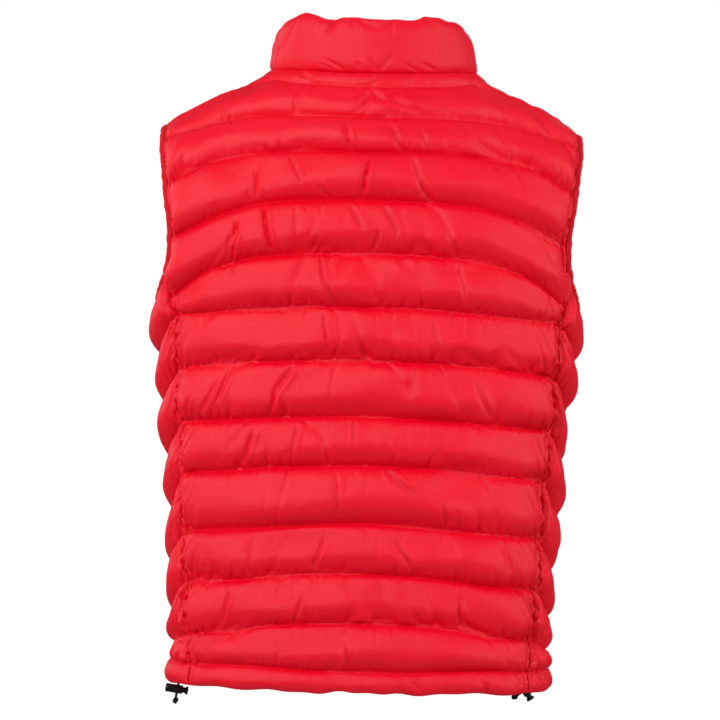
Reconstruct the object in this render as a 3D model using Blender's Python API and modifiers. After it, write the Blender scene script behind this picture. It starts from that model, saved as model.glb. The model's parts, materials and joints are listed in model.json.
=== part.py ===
"""A quilted puffer vest, filled out as it is worn, with nobody inside it.

+Z is up, -Y is the front of the vest and +X the wearer's left. The origin is the middle of the
neck opening, at the height of the seam that joins the collar to the back. Sizes are in millimetres
and become metres as each mesh is made.
"""

import math

import bmesh
import bpy
import numpy as np
from mathutils import Matrix, Vector

MM = 0.001

# ---------------------------------------------------------------- driving sizes, in millimetres

WALL = 3.0              # both shells and a little fill, pressed flat where they are stitched
SEAM_GAP = 0.58         # between neighbouring pieces
PUFF_SHARE = 0.23       # how far a channel stands out, as a share of its height
PUFF_MOST = 13.0
SEAM_FADE = 24.0        # a channel dies away into a seam over this width
CORNERS = 2.5           # power of the superellipse of a level section: 2 would be an ellipse

RIDGE_Y = -10.0         # the shoulder seams run along the top of the shoulders, at this depth
ROLL_BACK = 190.0       # height over which the back rolls forward to the shoulder seam, at the neck
ROLL_FRONT = 235.0
ROLL_AT_TIP = 0.55      # share of those heights at the shoulder's tip, where the turn is tighter
SHOULDER_TIP = 222.0    # from the middle to the end of the shoulder seam
NECK_HALF = 109.5       # from the middle to where collar and shoulder seam meet
NECK_DEPTH = 80.0       # front to back, the neck opening is about this far from its middle
NECK_COLUMNS = (0, 16, 31, 45, 59, 72, 90)   # degrees round the neck, from the middle to its side
FRONT_NECK_DROP = 66.0  # how far the collar seam dips at the centre front
ZIP_HALF = 6.5          # the front edges stop this far from the middle

# The level sections: height, half width at the side, depth behind and in front of the middle.
SECTIONS = (
    # z,   half,  back, front
    (-668, 206.0, 106, 110),
    (-647, 203.5, 104, 112),
    (-590, 198.0, 102, 113),
    (-542, 199.0, 101, 114),
    (-477, 202.0, 101, 115),
    (-421, 205.5, 102, 116),
    (-358, 210.0, 105, 118),
    (-300, 218.0, 109, 120),
    (-255, 226.5, 112, 121),
    (-200, 236.0, 114, 119),
    (-120, 246.0, 113, 112),
    (70, 250.0, 104, 96),
)

# The line of the shoulders. Inside the neck it only shapes the slope that the neckline is cut from.
RIDGE = (
    # x,   z
    (0, 43),
    (60, 29),
    (95, 14),
    (110, 7),
    (125, -3),
    (140, -12),
    (170, -27),
    (195, -40),
    (222, -55),
    (250, -72),
)

# The armhole's edge and, below the corner, the seam to the side panel.
BACK_EDGE = (
    # z,   x
    (-40, 222.0),
    (-56, 222.5),
    (-75, 222.5),
    (-98, 219.5),
    (-135, 215.0),
    (-173, 210.0),
    (-195, 210.0),
    (-223, 214.5),
    (-245, 210.5),
    (-265, 203.0),
    (-320, 197.5),
    (-378, 194.5),
    (-433, 190.5),
    (-496, 187.5),
    (-551, 184.0),
    (-607, 180.5),
    (-640, 179.0),
    (-668, 181.0),
)
FRONT_EDGE = (
    # z,   x
    (-40, 222.0),
    (-56, 222.0),
    (-75, 219.5),
    (-98, 212.5),
    (-135, 204.5),
    (-173, 201.5),
    (-207, 204.0),
    (-240, 211.0),
    (-262, 206.0),
    (-320, 199.5),
    (-378, 196.0),
    (-433, 192.0),
    (-496, 189.0),
    (-551, 186.0),
    (-607, 183.0),
    (-640, 181.5),
    (-668, 183.0),
)
BACK_CORNER_Z = -223.0   # where armhole, back and side panel meet
FRONT_CORNER_Z = -240.0
ARMHOLE_LOW_Z = -251.0   # lowest point of the armhole's edge, at the side
HEM_Z = -663.0

# Where the rows of points lie in a channel, as shares of its height from its upper line.
CHANNEL_ROWS = (0.0, 0.13, 0.38, 0.66, 0.88)
TOP_ROWS = (0.0, 0.3, 0.65)              # in the narrow strip under the collar
HEM_ROWS = (0.0, 0.3, 0.75, 1.0)
CORNER_CHANNEL = 2                       # the channel that the armhole's corner falls in
SIDE_TOP_ROWS = (0.0, 0.15, 0.3, 0.575, 0.74, 0.9)

# Stitched lines of the back, from the one over the shoulder blades down to the hem channel:
# heights at the middle, at a quarter, half and three quarters of the way out, and at the edge.
BACK_LINES = (
    # middle, quarter, half, three quarters, edge
    (-50, -49, -50, -58, -75),
    (-88, -87, -90, -99, -124),
    (-138, -139, -143, -157, -181),
    (-195, -196, -199, -212, -246),
    (-252, -252, -255, -259, -263),
    (-308, -309, -311, -315, -320),
    (-368, -369, -371, -375, -378),
    (-420, -421, -424, -429, -433),
    (-482, -484, -488, -492, -496),
    (-536, -537, -541, -547, -551),
    (-589, -590, -593, -601, -607),
    (-640, -640, -638, -637, -640),
)
FRONT_LINES = (
    # middle, quarter, half, three quarters, edge
    (-98, -97, -95, -93, -93),
    (-154, -153, -151, -150, -150),
    (-208, -207, -206, -206, -207),
    (-259, -259, -260, -261, -263),
    (-315, -316, -317, -319, -320),
    (-373, -374, -375, -377, -378),
    (-429, -429, -430, -432, -433),
    (-491, -492, -493, -495, -496),
    (-546, -547, -548, -550, -551),
    (-601, -602, -603, -606, -607),
    (-640, -640, -640, -640, -640),
)
FIRST_SIDE_LINE = 4      # the back line that is the first to run on over the side panel

SIDE_PANEL_WIDE = 150.0

# How far each stitched line of the side panel falls on its way to the front, first to last.
SIDE_DROPS = (58, 58, 55, 60, 55, 50, 20, 0)

# The line just under the collar, as a share of the way from the top edge to the first line.
YOKE_SHARE_BACK = ((0, 0.33), (60, 0.32), (110, 0.27), (150, 0.20), (222, 0.12))
YOKE_SHARE_FRONT = ((0, 0.46), (110, 0.50), (222, 0.46))
YOKE_FADE = (112.0, 165.0)   # on the back this line dies out between these widths

# The collar's top edge: angle round the neck (90 is the middle of the back), height.
COLLAR_TOP = ((-90, -7), (-60, 2), (-30, 21), (0, 44), (15, 53), (32, 61), (46, 64), (62, 61), (90, 58))
COLLAR_TOP_HALF = 100.0
COLLAR_TOP_BACK = 70.0
COLLAR_TOP_FRONT = 76.0
COLLAR_PUFF = 6.8
COLLAR_LIP = 3.0         # the folded top edge is this much thicker than the seam
COLLAR_SLIM = 0.45       # the share of that which the collar's two sides lack

# The largest folds and slack places of the back: where, how long, how wide and deep, and the slant
# from level in degrees.
FOLDS = (
    # x,    z,   long, wide, deep, slant
    (98, -165, 46, 16, 3.2, 80),
    (-22, -112, 44, 15, 2.8, 62),
    (28, -68, 60, 17, 3.0, 40),
    (-35, -30, 40, 13, 2.2, 50),
    (55, -520, 64, 18, 2.8, 55),
    (-60, -560, 52, 16, 2.4, 118),
    (-120, -340, 50, 16, 2.4, 75),
    (130, -290, 48, 15, 2.4, 100),
    (10, -400, 42, 15, 2.0, 85),
    (-150, -460, 44, 15, 2.4, 70),
    (150, -600, 46, 15, 2.4, 105),
    (-95, -225, 50, 16, 2.6, 112),
)

BINDING_SECTION = (
    # out into the armhole, off the cloth
    (0.0, -0.7),
    (0.0, 4.3),
    (5.4, 5.0),
    (8.4, 3.5),
    (8.4, 0.3),
    (5.4, -1.1),
)

TAPE_THICK = 1.2
TAPE_GAP = 0.9
TAPE_FROM = 2.6          # the tapes' inner edges, half a row of teeth from the middle
TAPE_TO = 14.0
ZIP_STEP = 42.0          # between the tapes' cross-sections
ZIP_COLLAR_STEPS = (0.0, 0.2, 0.6, 0.98)   # up the collar, as shares of its height

SLIDER_DOWN = 11.0       # the closed zip's slider sits this far below the top of the collar
SLIDER_PLATE = (10.0, 1.2, 12.0)
SLIDER_MOUTH = 3.6       # between its two plates
PULL_LONG = 27.0
PULL_WIDE = 7.0
PULL_THICK = 1.4

CORD_D = 2.8
LOCK_D = 9.4
LOCK_LONG = 19.0
LOCK_BORE = 7.0
PLUNGER_D = 6.3
PLUNGER_GAP = 3.2        # the head stands off the barrel by this much, and can be pressed by less
PLUNGER_HEAD = 2.8
CROSS_HOLE = 4.2
KNOT_R = 3.3

# The end of the hem drawcord at each side, eyelet first: the route's own points.
CORD_LEFT = (
    (200.0, -1.0, -648.0), (197.0, -1.0, -648.5), (195.2, -1.0, -651.2), (194.9, -1.0, -655.6),
    (195.8, -1.0, -661.5), (197.6, -1.0, -667.5), (198.9, -1.0, -673.0), (199.7, -1.0, -678.5),
    (200.3, -1.0, -683.5),
)
CORD_RIGHT = (
    (-198.6, -20.0, -645.0), (-195.6, -20.0, -645.8), (-193.6, -20.0, -648.8), (-193.2, -20.0, -653.0),
    (-193.4, -20.0, -657.6), (-192.3, -20.0, -662.2), (-189.2, -20.0, -666.0), (-185.1, -20.0, -668.6),
    (-180.0, -20.0, -671.8), (-176.2, -20.0, -674.2),
)
# Each cord lock: middle of its cross hole, and the way that its plunger's head points.
LOCK_LEFT = ((199.1, -1.0, -674.4), (-0.99, 0.0, -0.14))
LOCK_RIGHT = ((-185.1, -20.0, -668.6), (-0.53, 0.0, -0.85))

# ---------------------------------------------------------------- smooth functions from tables


def through(table, column=1):
    """A smooth function through one column of a table, with no overshoot between its rows."""
    rows = sorted(table)
    at = np.array([row[0] for row in rows], float)
    value = np.array([row[column] for row in rows], float)
    step = np.diff(at)
    slope = np.diff(value) / step
    lean = np.zeros(len(at))
    for i in range(1, len(at) - 1):
        if slope[i - 1] * slope[i] > 0:
            before, after = 2 * step[i] + step[i - 1], step[i] + 2 * step[i - 1]
            lean[i] = (before + after) / (before / slope[i - 1] + after / slope[i])
    lean[-1] = slope[-1]
    if at[0] != 0:
        lean[0] = slope[0]

    def smooth(where):
        i = int(np.clip(np.searchsorted(at, where) - 1, 0, len(step) - 1))
        t = min(1.0, max(0.0, (where - at[i]) / step[i]))
        rise = value[i] * (1 + 2 * t) * (1 - t) ** 2 + value[i + 1] * t * t * (3 - 2 * t)
        return rise + step[i] * (lean[i] * t * (1 - t) ** 2 - lean[i + 1] * t * t * (1 - t))

    return smooth


half_width = through(SECTIONS, 1)
depth_back = through(SECTIONS, 2)
depth_front = through(SECTIONS, 3)
ridge_z = through(RIDGE)
back_edge = through(BACK_EDGE)
front_edge = through(FRONT_EDGE)
yoke_back = through(YOKE_SHARE_BACK)
yoke_front = through(YOKE_SHARE_FRONT)
collar_top = through(COLLAR_TOP)


def unit(vector):
    return vector / np.linalg.norm(vector)


def ease(low, high, value):
    t = min(1.0, max(0.0, (value - low) / (high - low)))
    return t * t * (3 - 2 * t)


# ---------------------------------------------------------------- the plain inner form


def inner_form(turn, z):
    """A point inside the wall. turn is the angle from the wearer's left, +90 degrees at the back."""
    c, s = math.cos(turn), math.sin(turn)
    x = half_width(z) * math.copysign(abs(c) ** (2 / CORNERS), c)
    depth, roll_high = (depth_back(z), ROLL_BACK) if s >= 0 else (depth_front(z), ROLL_FRONT)
    y = depth * math.copysign(abs(s) ** (2 / CORNERS), s)
    roll_high *= 1 - (1 - ROLL_AT_TIP) * ease(NECK_HALF, SHOULDER_TIP, abs(x))
    low = min(1.0, max(0.0, (ridge_z(abs(x)) - z) / roll_high))
    return np.array([x, RIDGE_Y + (y - RIDGE_Y) * math.sqrt(1 - (1 - low) ** 2), z])


def outward(turn, z):
    """The direction that points out of the cloth there."""
    small = 0.003
    across = inner_form(turn + small, z) - inner_form(turn - small, z)
    up = inner_form(turn, z + 0.2) - inner_form(turn, z - 0.2)
    return unit(np.cross(across, up))


def turn_at(x, z, face):
    """The angle of the point at this width and height: face is 1 on the back and -1 on the front."""
    share = min(1.0, abs(x) / half_width(z)) ** (CORNERS / 2)
    return face * math.acos(math.copysign(share, x))


def neckline_z(x, face):
    """Height of the collar seam. It is level behind and dips to the centre front."""
    inward = 1 - (x / NECK_HALF) ** 2
    side = ridge_z(NECK_HALF)
    return side * (1 - inward) if face > 0 else side - (side + FRONT_NECK_DROP) * inward


def top_z(x, face):
    x = abs(x)
    return neckline_z(x, face) if x < NECK_HALF else ridge_z(x)


# ---------------------------------------------------------------- quilting


def pillow(t):
    """Section of a filled channel from its upper line, 0, to its lower line, 1: the crown lies a
    little above the middle."""
    low = t ** 0.86
    return max(0.0, 1 - abs(2 * low - 1) ** 2.3)


def seam_fade(distance):
    near = 1 - min(1.0, max(0.0, distance) / SEAM_FADE)
    return math.sqrt(max(0.0, 1 - near * near))


def channel_puff(t, height):
    return min(PUFF_MOST, PUFF_SHARE * height) * pillow(t)


def fill_share(x, z):
    """The fill lies a little unevenly along the channels."""
    return 1 + 0.07 * math.sin(0.043 * x + 0.11 * z) + 0.05 * math.sin(0.071 * x - 0.053 * z + 1.3)


def fold_depth(x, z):
    """How far the largest folds of the back sink into the fill there."""
    depth = 0.0
    for fold_x, fold_z, long, wide, deep, slant in FOLDS:
        c, s = math.cos(math.radians(slant)), math.sin(math.radians(slant))
        along = ((x - fold_x) * c + (z - fold_z) * s) / (long / 2)
        across = ((z - fold_z) * c - (x - fold_x) * s) / (wide / 2)
        if abs(along) < 1.5 and abs(across) < 2.5:
            depth += deep * math.exp(-across * across - along ** 4)
    return depth


def line_z(lines, index, share, face):
    """Height of a stitched line. -2 is the top edge, -1 the line under the collar and the last
    is the hem. share is the way out from the middle to the panel's edge, 0 to 1."""
    if index >= len(lines):
        return HEM_Z
    if index >= 0:
        return through(list(zip((0, 0.25, 0.5, 0.75, 1), lines[index])))(share)
    top = top_z(share * SHOULDER_TIP, face)
    if index == -2:
        return top
    yoke = yoke_back if face > 0 else yoke_front
    return top + (line_z(lines, 0, share, face) - top) * yoke(share * SHOULDER_TIP)


def row_steps(lines, corner_z):
    """The rows of points down a panel, as channel and share of its height. One row ends exactly at
    the corner of the armhole, and its number is given too."""
    upper, lower = lines[CORNER_CHANNEL][-1], lines[CORNER_CHANNEL + 1][-1]
    corner_t = (upper - corner_z) / (upper - lower)
    rows = []
    for channel in range(-2, len(lines)):
        steps = TOP_ROWS if channel == -2 else CHANNEL_ROWS
        if channel == len(lines) - 1:
            steps = HEM_ROWS
        if channel == CORNER_CHANNEL:
            steps = (*CHANNEL_ROWS[:3], corner_t, (1 + corner_t) / 2)
        rows += [(channel, t) for t in steps]
    return rows, rows.index((CORNER_CHANNEL, corner_t))


BESIDE_ZIP = 0.055       # a column of points close to the front edge, as a share of the panel


def column_shares(middle):
    """The columns of points from the middle to the edge. The first ones end at the collar seam's
    side, so that collar, back and front meet in the same points."""
    neck_side = (NECK_HALF - middle) / (SHOULDER_TIP - middle)
    neck = [neck_side * math.sin(math.radians(turn)) for turn in NECK_COLUMNS]
    if middle:
        neck.insert(1, BESIDE_ZIP)
    return neck + [neck_side + (1 - neck_side) * step for step in (0.2, 0.42, 0.64, 0.84, 0.94, 1.0)]


def away_from_neck(point):
    """The level direction that points out of the neck opening's oval."""
    return unit(np.array([point[0] / NECK_HALF ** 2, (point[1] - RIDGE_Y) / NECK_DEPTH ** 2, 0.0]))


def neck_direction(x, face):
    """Mitre between the panel and the collar that stands on it."""
    z = neckline_z(x, face)
    return unit(outward(turn_at(x, z, face), z) + away_from_neck(neck_point(x, face)))


def neck_point(x, face):
    z = neckline_z(abs(x), face)
    return inner_form(turn_at(x, z, face), z)


def quilted_grid(lines, face, shares, rows, edge, middle):
    """Inner points, outward directions and puff heights of a panel quilted across."""
    shape = (len(rows), len(shares))
    points, directions, puffs = np.zeros((*shape, 3)), np.zeros((*shape, 3)), np.zeros(shape)
    for i, (channel, t) in enumerate(rows):
        for j, share in enumerate(shares):
            upper = line_z(lines, channel, abs(share), face)
            lower = line_z(lines, channel + 1, abs(share), face)
            z = upper + (lower - upper) * t
            border = edge(z) if channel >= -1 else SHOULDER_TIP
            x = math.copysign(middle + abs(share) * (border - middle), share)
            if channel == -2:
                z = top_z(x, face) + (lower - top_z(x, face)) * t
            turn = turn_at(x, z, face)
            points[i, j], directions[i, j] = inner_form(turn, z), outward(turn, z)
            if channel == -2 and t == 0 and abs(x) <= NECK_HALF + 0.01:
                points[i, j], directions[i, j] = neck_point(x, face), neck_direction(x, face)
            puff = channel_puff(t, upper - lower)
            if face > 0 and channel < 0:
                yoke, top = yoke_back(abs(x)), line_z(lines, -2, abs(share), face)
                whole_t = yoke * t if channel == -2 else yoke + (1 - yoke) * t
                whole = channel_puff(whole_t, top - line_z(lines, 0, abs(share), face))
                puff += (whole - puff) * ease(*YOKE_FADE, abs(x))
            from_edge = (1 - abs(share)) * border * 1.3
            if middle:
                from_edge = min(from_edge, abs(share) * border)
            puff *= seam_fade(from_edge) * fill_share(x, z)
            puffs[i, j] = max(0.0, puff - (fold_depth(x, z) if face > 0 and puff > 3 else 0))
    return points, directions, puffs


def side_grid(shares):
    """The same for a side panel on the wearer's left, from the back seam, 0, to the front one, 1."""
    edge_z = [line[-1] for line in BACK_LINES[FIRST_SIDE_LINE:]]

    def line(index, share):
        if index == 0:
            end = BACK_CORNER_Z if share < 0.5 else FRONT_CORNER_Z
            return ARMHOLE_LOW_Z + (end - ARMHOLE_LOW_Z) * abs(2 * share - 1) ** 2.0
        if index > len(edge_z):
            return HEM_Z
        return edge_z[index - 1] - SIDE_DROPS[index - 1] * (1 - (1 - share) ** 1.7)

    rows = [(0, t) for t in SIDE_TOP_ROWS]
    rows += [(channel, t) for channel in range(1, len(edge_z)) for t in CHANNEL_ROWS]
    rows += [(len(edge_z), t) for t in HEM_ROWS]
    shape = (len(rows), len(shares))
    points, directions, puffs = np.zeros((*shape, 3)), np.zeros((*shape, 3)), np.zeros(shape)
    for i, (channel, t) in enumerate(rows):
        for j, share in enumerate(shares):
            upper, lower = line(channel, share), line(channel + 1, share)
            z = upper + (lower - upper) * t
            start, end = turn_at(back_edge(z), z, 1), turn_at(front_edge(z), z, -1)
            turn = start + (end - start) * share
            points[i, j], directions[i, j] = inner_form(turn, z), outward(turn, z)
            from_edge = min(share, 1 - share) * SIDE_PANEL_WIDE
            uneven = fill_share(half_width(z) + SIDE_PANEL_WIDE * share, z)
            puffs[i, j] = channel_puff(t, upper - lower) * seam_fade(from_edge) * uneven
    return points, directions, puffs


def pull_in(points, sides):
    """Moves the points on the named sides in by half a seam gap."""
    moved = points.copy()
    ends = {"top": (0, 1), "bottom": (-1, -2), "left": (0, 1), "right": (-1, -2)}
    for side in sides:
        edge, inner = ends[side]
        if side in ("top", "bottom"):
            toward = points[inner] - points[edge]
            moved[edge] += toward / np.linalg.norm(toward, axis=1)[:, None] * SEAM_GAP / 2
        else:
            toward = points[:, inner] - points[:, edge]
            moved[:, edge] += toward / np.linalg.norm(toward, axis=1)[:, None] * SEAM_GAP / 2
    return moved


def mirrored(points):
    return points * np.array([-1.0, 1.0, 1.0])


# ---------------------------------------------------------------- meshes


def strip(mesh, first, second):
    """Triangles between two runs of (place, vertex), which may have unlike numbers of points."""
    i = j = 0
    while i < len(first) - 1 or j < len(second) - 1:
        first_next = first[i][0] + first[i + 1][0] if i < len(first) - 1 else math.inf
        second_next = second[j][0] + second[j + 1][0] if j < len(second) - 1 else math.inf
        if first_next <= second_next:
            mesh.faces.new((first[i][1], first[i + 1][1], second[j][1]))
            i += 1
        else:
            mesh.faces.new((first[i][1], second[j + 1][1], second[j][1]))
            j += 1


def cells(mesh, grid):
    for upper, lower in zip(grid, grid[1:]):
        for j in range(len(upper) - 1):
            mesh.faces.new((upper[j], upper[j + 1], lower[j + 1], lower[j]))


def finish_mesh(name, mesh, material, smooth_angle=None):
    bmesh.ops.recalc_face_normals(mesh, faces=mesh.faces)
    bmesh.ops.scale(mesh, vec=(MM, MM, MM), verts=mesh.verts)
    data = bpy.data.meshes.new(name)
    mesh.to_mesh(data)
    mesh.free()
    piece = bpy.data.objects.new(name, data)
    vest.objects.link(piece)
    data.materials.append(material)
    if smooth_angle:
        data.shade_smooth()
        data.set_sharp_from_angle(angle=math.radians(smooth_angle))
    return piece


def quilted_wall(name, outer, inner, coarse_rows, coarse_columns, material):
    """A closed wall: raised outer points, and a plain inside that keeps only the edges fine."""
    mesh = bmesh.new()
    rows, columns = outer.shape[:2]
    face = [[mesh.verts.new(point) for point in row] for row in outer]
    cells(mesh, face)
    rim = {}
    for i in range(rows):
        for j in range(columns):
            if i in (0, rows - 1) or j in (0, columns - 1):
                rim[i, j] = mesh.verts.new(inner[i, j])
    core = [[mesh.verts.new(inner[i, j]) for j in coarse_columns] for i in coarse_rows]
    cells(mesh, core)
    for i, core_row in ((0, core[0]), (rows - 1, core[-1])):
        strip(mesh, [(j, rim[i, j]) for j in range(columns)], list(zip(coarse_columns, core_row)))
        for j in range(columns - 1):
            mesh.faces.new((face[i][j], face[i][j + 1], rim[i, j + 1], rim[i, j]))
    for j, core_column in ((0, [row[0] for row in core]), (columns - 1, [row[-1] for row in core])):
        strip(mesh, [(i, rim[i, j]) for i in range(rows)], list(zip(coarse_rows, core_column)))
        for i in range(rows - 1):
            mesh.faces.new((face[i][j], face[i + 1][j], rim[i + 1, j], rim[i, j]))
    return finish_mesh(name, mesh, material, 50)


def ring(name, sections, material):
    """A closed band through cross-sections that follow each other round an opening."""
    mesh = bmesh.new()
    loops = [[mesh.verts.new(point) for point in section] for section in sections]
    for loop, after in zip(loops, loops[1:] + loops[:1]):
        for k in range(len(loop)):
            following = (k + 1) % len(loop)
            mesh.faces.new((loop[k], loop[following], after[following], after[k]))
    return finish_mesh(name, mesh, material, 60)


def slab(name, front, back, material):
    """A thin strip between two grids of points of the same shape."""
    mesh = bmesh.new()
    sides = [[[mesh.verts.new(point) for point in row] for row in grid] for grid in (front, back)]
    for side in sides:
        cells(mesh, side)
    loops = []
    for side in sides:
        left, right = [row[0] for row in side], [row[-1] for row in side]
        loops.append(side[0] + right[1:] + side[-1][-2::-1] + left[-2:0:-1])
    for k in range(len(loops[0])):
        following = (k + 1) % len(loops[0])
        mesh.faces.new((loops[0][k], loops[0][following], loops[1][following], loops[1][k]))
    return finish_mesh(name, mesh, material)


def material(name, colour, roughness, metallic=0.0):
    made = bpy.data.materials.new(name)
    made.use_nodes = True
    shader = made.node_tree.nodes["Principled BSDF"]
    shader.inputs["Base Color"].default_value = (*colour, 1.0)
    shader.inputs["Roughness"].default_value = roughness
    shader.inputs["Metallic"].default_value = metallic
    return made


# ---------------------------------------------------------------- start

for leftover in list(bpy.data.objects):
    bpy.data.objects.remove(leftover)
vest = bpy.data.collections.new("puffer_vest")
cutters = bpy.data.collections.new("cutters")
for collection in (vest, cutters):
    bpy.context.scene.collection.children.link(collection)

red_shell = material("red_shell", (0.82, 0.02, 0.04), 0.5)
red_tape = material("red_tape", (0.66, 0.015, 0.03), 0.75)
black_cord = material("black_cord", (0.02, 0.02, 0.022), 0.8)
black_plastic = material("black_plastic", (0.012, 0.012, 0.014), 0.25)
black_metal = material("black_metal", (0.03, 0.03, 0.032), 0.35, 0.8)

# ---------------------------------------------------------------- panels

out_shares = column_shares(0)
front_shares = column_shares(ZIP_HALF)


def coarse(count, step):
    """Every so many rows or columns, from the second to the last but one."""
    return list(range(1, count - 2, step)) + [count - 2]


back_rows, back_corner_row = row_steps(BACK_LINES, BACK_CORNER_Z)
back_shares = [-share for share in reversed(out_shares[1:])] + out_shares
back_points, back_out, back_puffs = quilted_grid(BACK_LINES, 1, back_shares, back_rows, back_edge, 0)

front_rows, front_corner_row = row_steps(FRONT_LINES, FRONT_CORNER_Z)
front_points, front_out, front_puffs = quilted_grid(
    FRONT_LINES, -1, front_shares, front_rows, front_edge, ZIP_HALF
)

side_shares = (0.0, 0.06, 0.18, 0.34, 0.5, 0.66, 0.82, 0.94, 1.0)
side_points, side_out, side_puffs = side_grid(side_shares)


def panel(name, points, directions, puffs, gaps, row_step, column_step, turned=False):
    inner = pull_in(points, gaps)
    outer = inner + directions * (WALL + puffs)[:, :, None]
    if turned:
        inner, outer = mirrored(inner), mirrored(outer)
    rows, columns = coarse(len(points), row_step), coarse(points.shape[1], column_step)
    return quilted_wall(name, outer, inner, rows, columns, red_shell)


panel("back_panel", back_points, back_out, back_puffs, ("top", "left", "right"), 4, 2)
for side, turned in (("left", False), ("right", True)):
    name = "front_" + side
    panel(name, front_points, front_out, front_puffs, ("top", "right"), 2, 2, turned)
    name = "side_panel_" + side
    panel(name, side_points, side_out, side_puffs, ("top", "left", "right"), 5, 2, turned)

# ---------------------------------------------------------------- collar

COLLAR_STEPS = (0.0, 0.14, 0.36, 0.62, 0.84, 0.95, 1.0)


def collar_base(x, face):
    """A point of the collar seam, its angle round the neck and the mitre there."""
    share = min(1.0, abs(x) / NECK_HALF)
    turn = face * math.acos(math.copysign(share, x))
    return neck_point(x, face), turn, neck_direction(x, face)


def collar_rim(turn):
    """The collar's top edge. It is measured the same both ways round from the middle of the back."""
    degrees = math.degrees(turn)
    from_side = 180 - degrees if degrees > 90 else -180 - degrees if degrees < -90 else degrees
    depth = COLLAR_TOP_BACK if turn > 0 else COLLAR_TOP_FRONT
    x, y = COLLAR_TOP_HALF * math.cos(turn), RIDGE_Y + depth * math.sin(turn)
    return np.array([x, y, collar_top(from_side)])


def collar_grid():
    half_front = [ZIP_HALF + share * (SHOULDER_TIP - ZIP_HALF) for share in front_shares]
    half_front = [x for x in half_front if x < NECK_HALF - 4]
    back = [share * SHOULDER_TIP for share in back_shares if abs(share) * SHOULDER_TIP <= NECK_HALF + 0.01]
    stations = [(x, -1) for x in half_front] + [(x, 1) for x in reversed(back)]
    stations += [(-x, -1) for x in reversed(half_front)]
    points = np.zeros((len(COLLAR_STEPS), len(stations), 3))
    directions = np.zeros_like(points)
    for j, (x, face) in enumerate(stations):
        base, turn, mitre = collar_base(x, face)
        rim = collar_rim(turn)
        for i, step in enumerate(COLLAR_STEPS):
            points[i, j] = base + (rim - base) * step
        away = away_from_neck(base)
        for i, step in enumerate(COLLAR_STEPS):
            directions[i, j] = unit(mitre + (away - mitre) * min(1.0, step * 3))
    return points, directions


collar_points, collar_out = collar_grid()
collar_puffs = np.zeros(collar_points.shape[:2])
for i, step in enumerate(COLLAR_STEPS):
    swell = COLLAR_PUFF * max(0.0, 1 - abs(2 * step ** 0.9 - 1) ** 2.6) + COLLAR_LIP * step ** 2
    for j in range(collar_points.shape[1]):
        from_zip = min(j, collar_points.shape[1] - 1 - j)
        at_side = min(1.0, abs(collar_points[0, j, 0]) / NECK_HALF) ** 4
        collar_puffs[i, j] = swell * (0.35, 0.85, 1.0)[min(from_zip, 2)] * (1 - COLLAR_SLIM * at_side)


def collar_wall():
    inner = pull_in(pull_in(collar_points, ("top",)), ("top",))
    outer = inner + collar_out * (WALL + collar_puffs)[:, :, None]
    rows, columns = coarse(len(inner), 2), coarse(inner.shape[1], 1)
    return quilted_wall("collar", outer, inner, rows, columns, red_shell)


collar_wall()

# ---------------------------------------------------------------- armhole bindings


def armhole_stations():
    """Edge points, outward directions and ways into the hole, once round the left armhole."""
    down_back = [(back_points[i, -1], back_out[i, -1]) for i in range(back_corner_row + 1)]
    under = [(side_points[0, j], side_out[0, j]) for j in range(1, len(side_shares) - 1)]
    up_front = [(front_points[i, -1], front_out[i, -1]) for i in range(front_corner_row, 0, -1)]
    edge = down_back + under + up_front
    stations = []
    for k, (point, direction) in enumerate(edge):
        before, after = edge[k - 1][0], edge[(k + 1) % len(edge)][0]
        along = unit(unit(after - point) + unit(point - before))
        into = unit(np.cross(direction, along))
        stations.append((point, direction, into))
    middle = sum(point for point, _, _ in stations) / len(stations)
    if sum(np.dot(middle - point, into) for point, _, into in stations) < 0:
        stations = [(point, direction, -into) for point, direction, into in stations]
    return stations


def binding_sections():
    sections = []
    for point, direction, into in armhole_stations():
        start = point + into * SEAM_GAP / 2
        sections.append([start + into * reach + direction * off for reach, off in BINDING_SECTION])
    return np.array(sections)


ring("armhole_binding_left", binding_sections(), red_tape)
ring("armhole_binding_right", mirrored(binding_sections()), red_tape)

# ---------------------------------------------------------------- zip


def zip_path():
    """Stations up the zip: a function of width that gives an inner point, and the way out there."""
    stations = []
    count = round((-FRONT_NECK_DROP - HEM_Z) / ZIP_STEP)
    for k in range(count + 1):
        z = HEM_Z + 2 + (neckline_z(0, -1) - 6 - HEM_Z - 2) * k / count

        def on_panel(x, z=z):
            turn = turn_at(x, z, -1)
            return inner_form(turn, z), outward(turn, z)

        stations.append(on_panel)
    for step in ZIP_COLLAR_STEPS:

        def on_collar(x, step=step):
            base, turn, mitre = collar_base(x, -1)
            if step == 0:
                return base, mitre
            rim = collar_rim(turn)
            along = unit(rim - base)
            level = away_from_neck(base)
            return base + (rim - base) * step, unit(level - along * np.dot(level, along))

        stations.append(on_collar)
    return stations


def tape_grid(off):
    grid = []
    for station in zip_path():
        row = []
        for x in (TAPE_FROM, TAPE_TO):
            point, direction = station(x)
            row.append(point - direction * off)
        grid.append(row)
    return np.array(grid)


tape_front, tape_back = tape_grid(TAPE_GAP), tape_grid(TAPE_GAP + TAPE_THICK)
slab("zip_tape_left", tape_front, tape_back, red_tape)
slab("zip_tape_right", mirrored(tape_front), mirrored(tape_back), red_tape)


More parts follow.
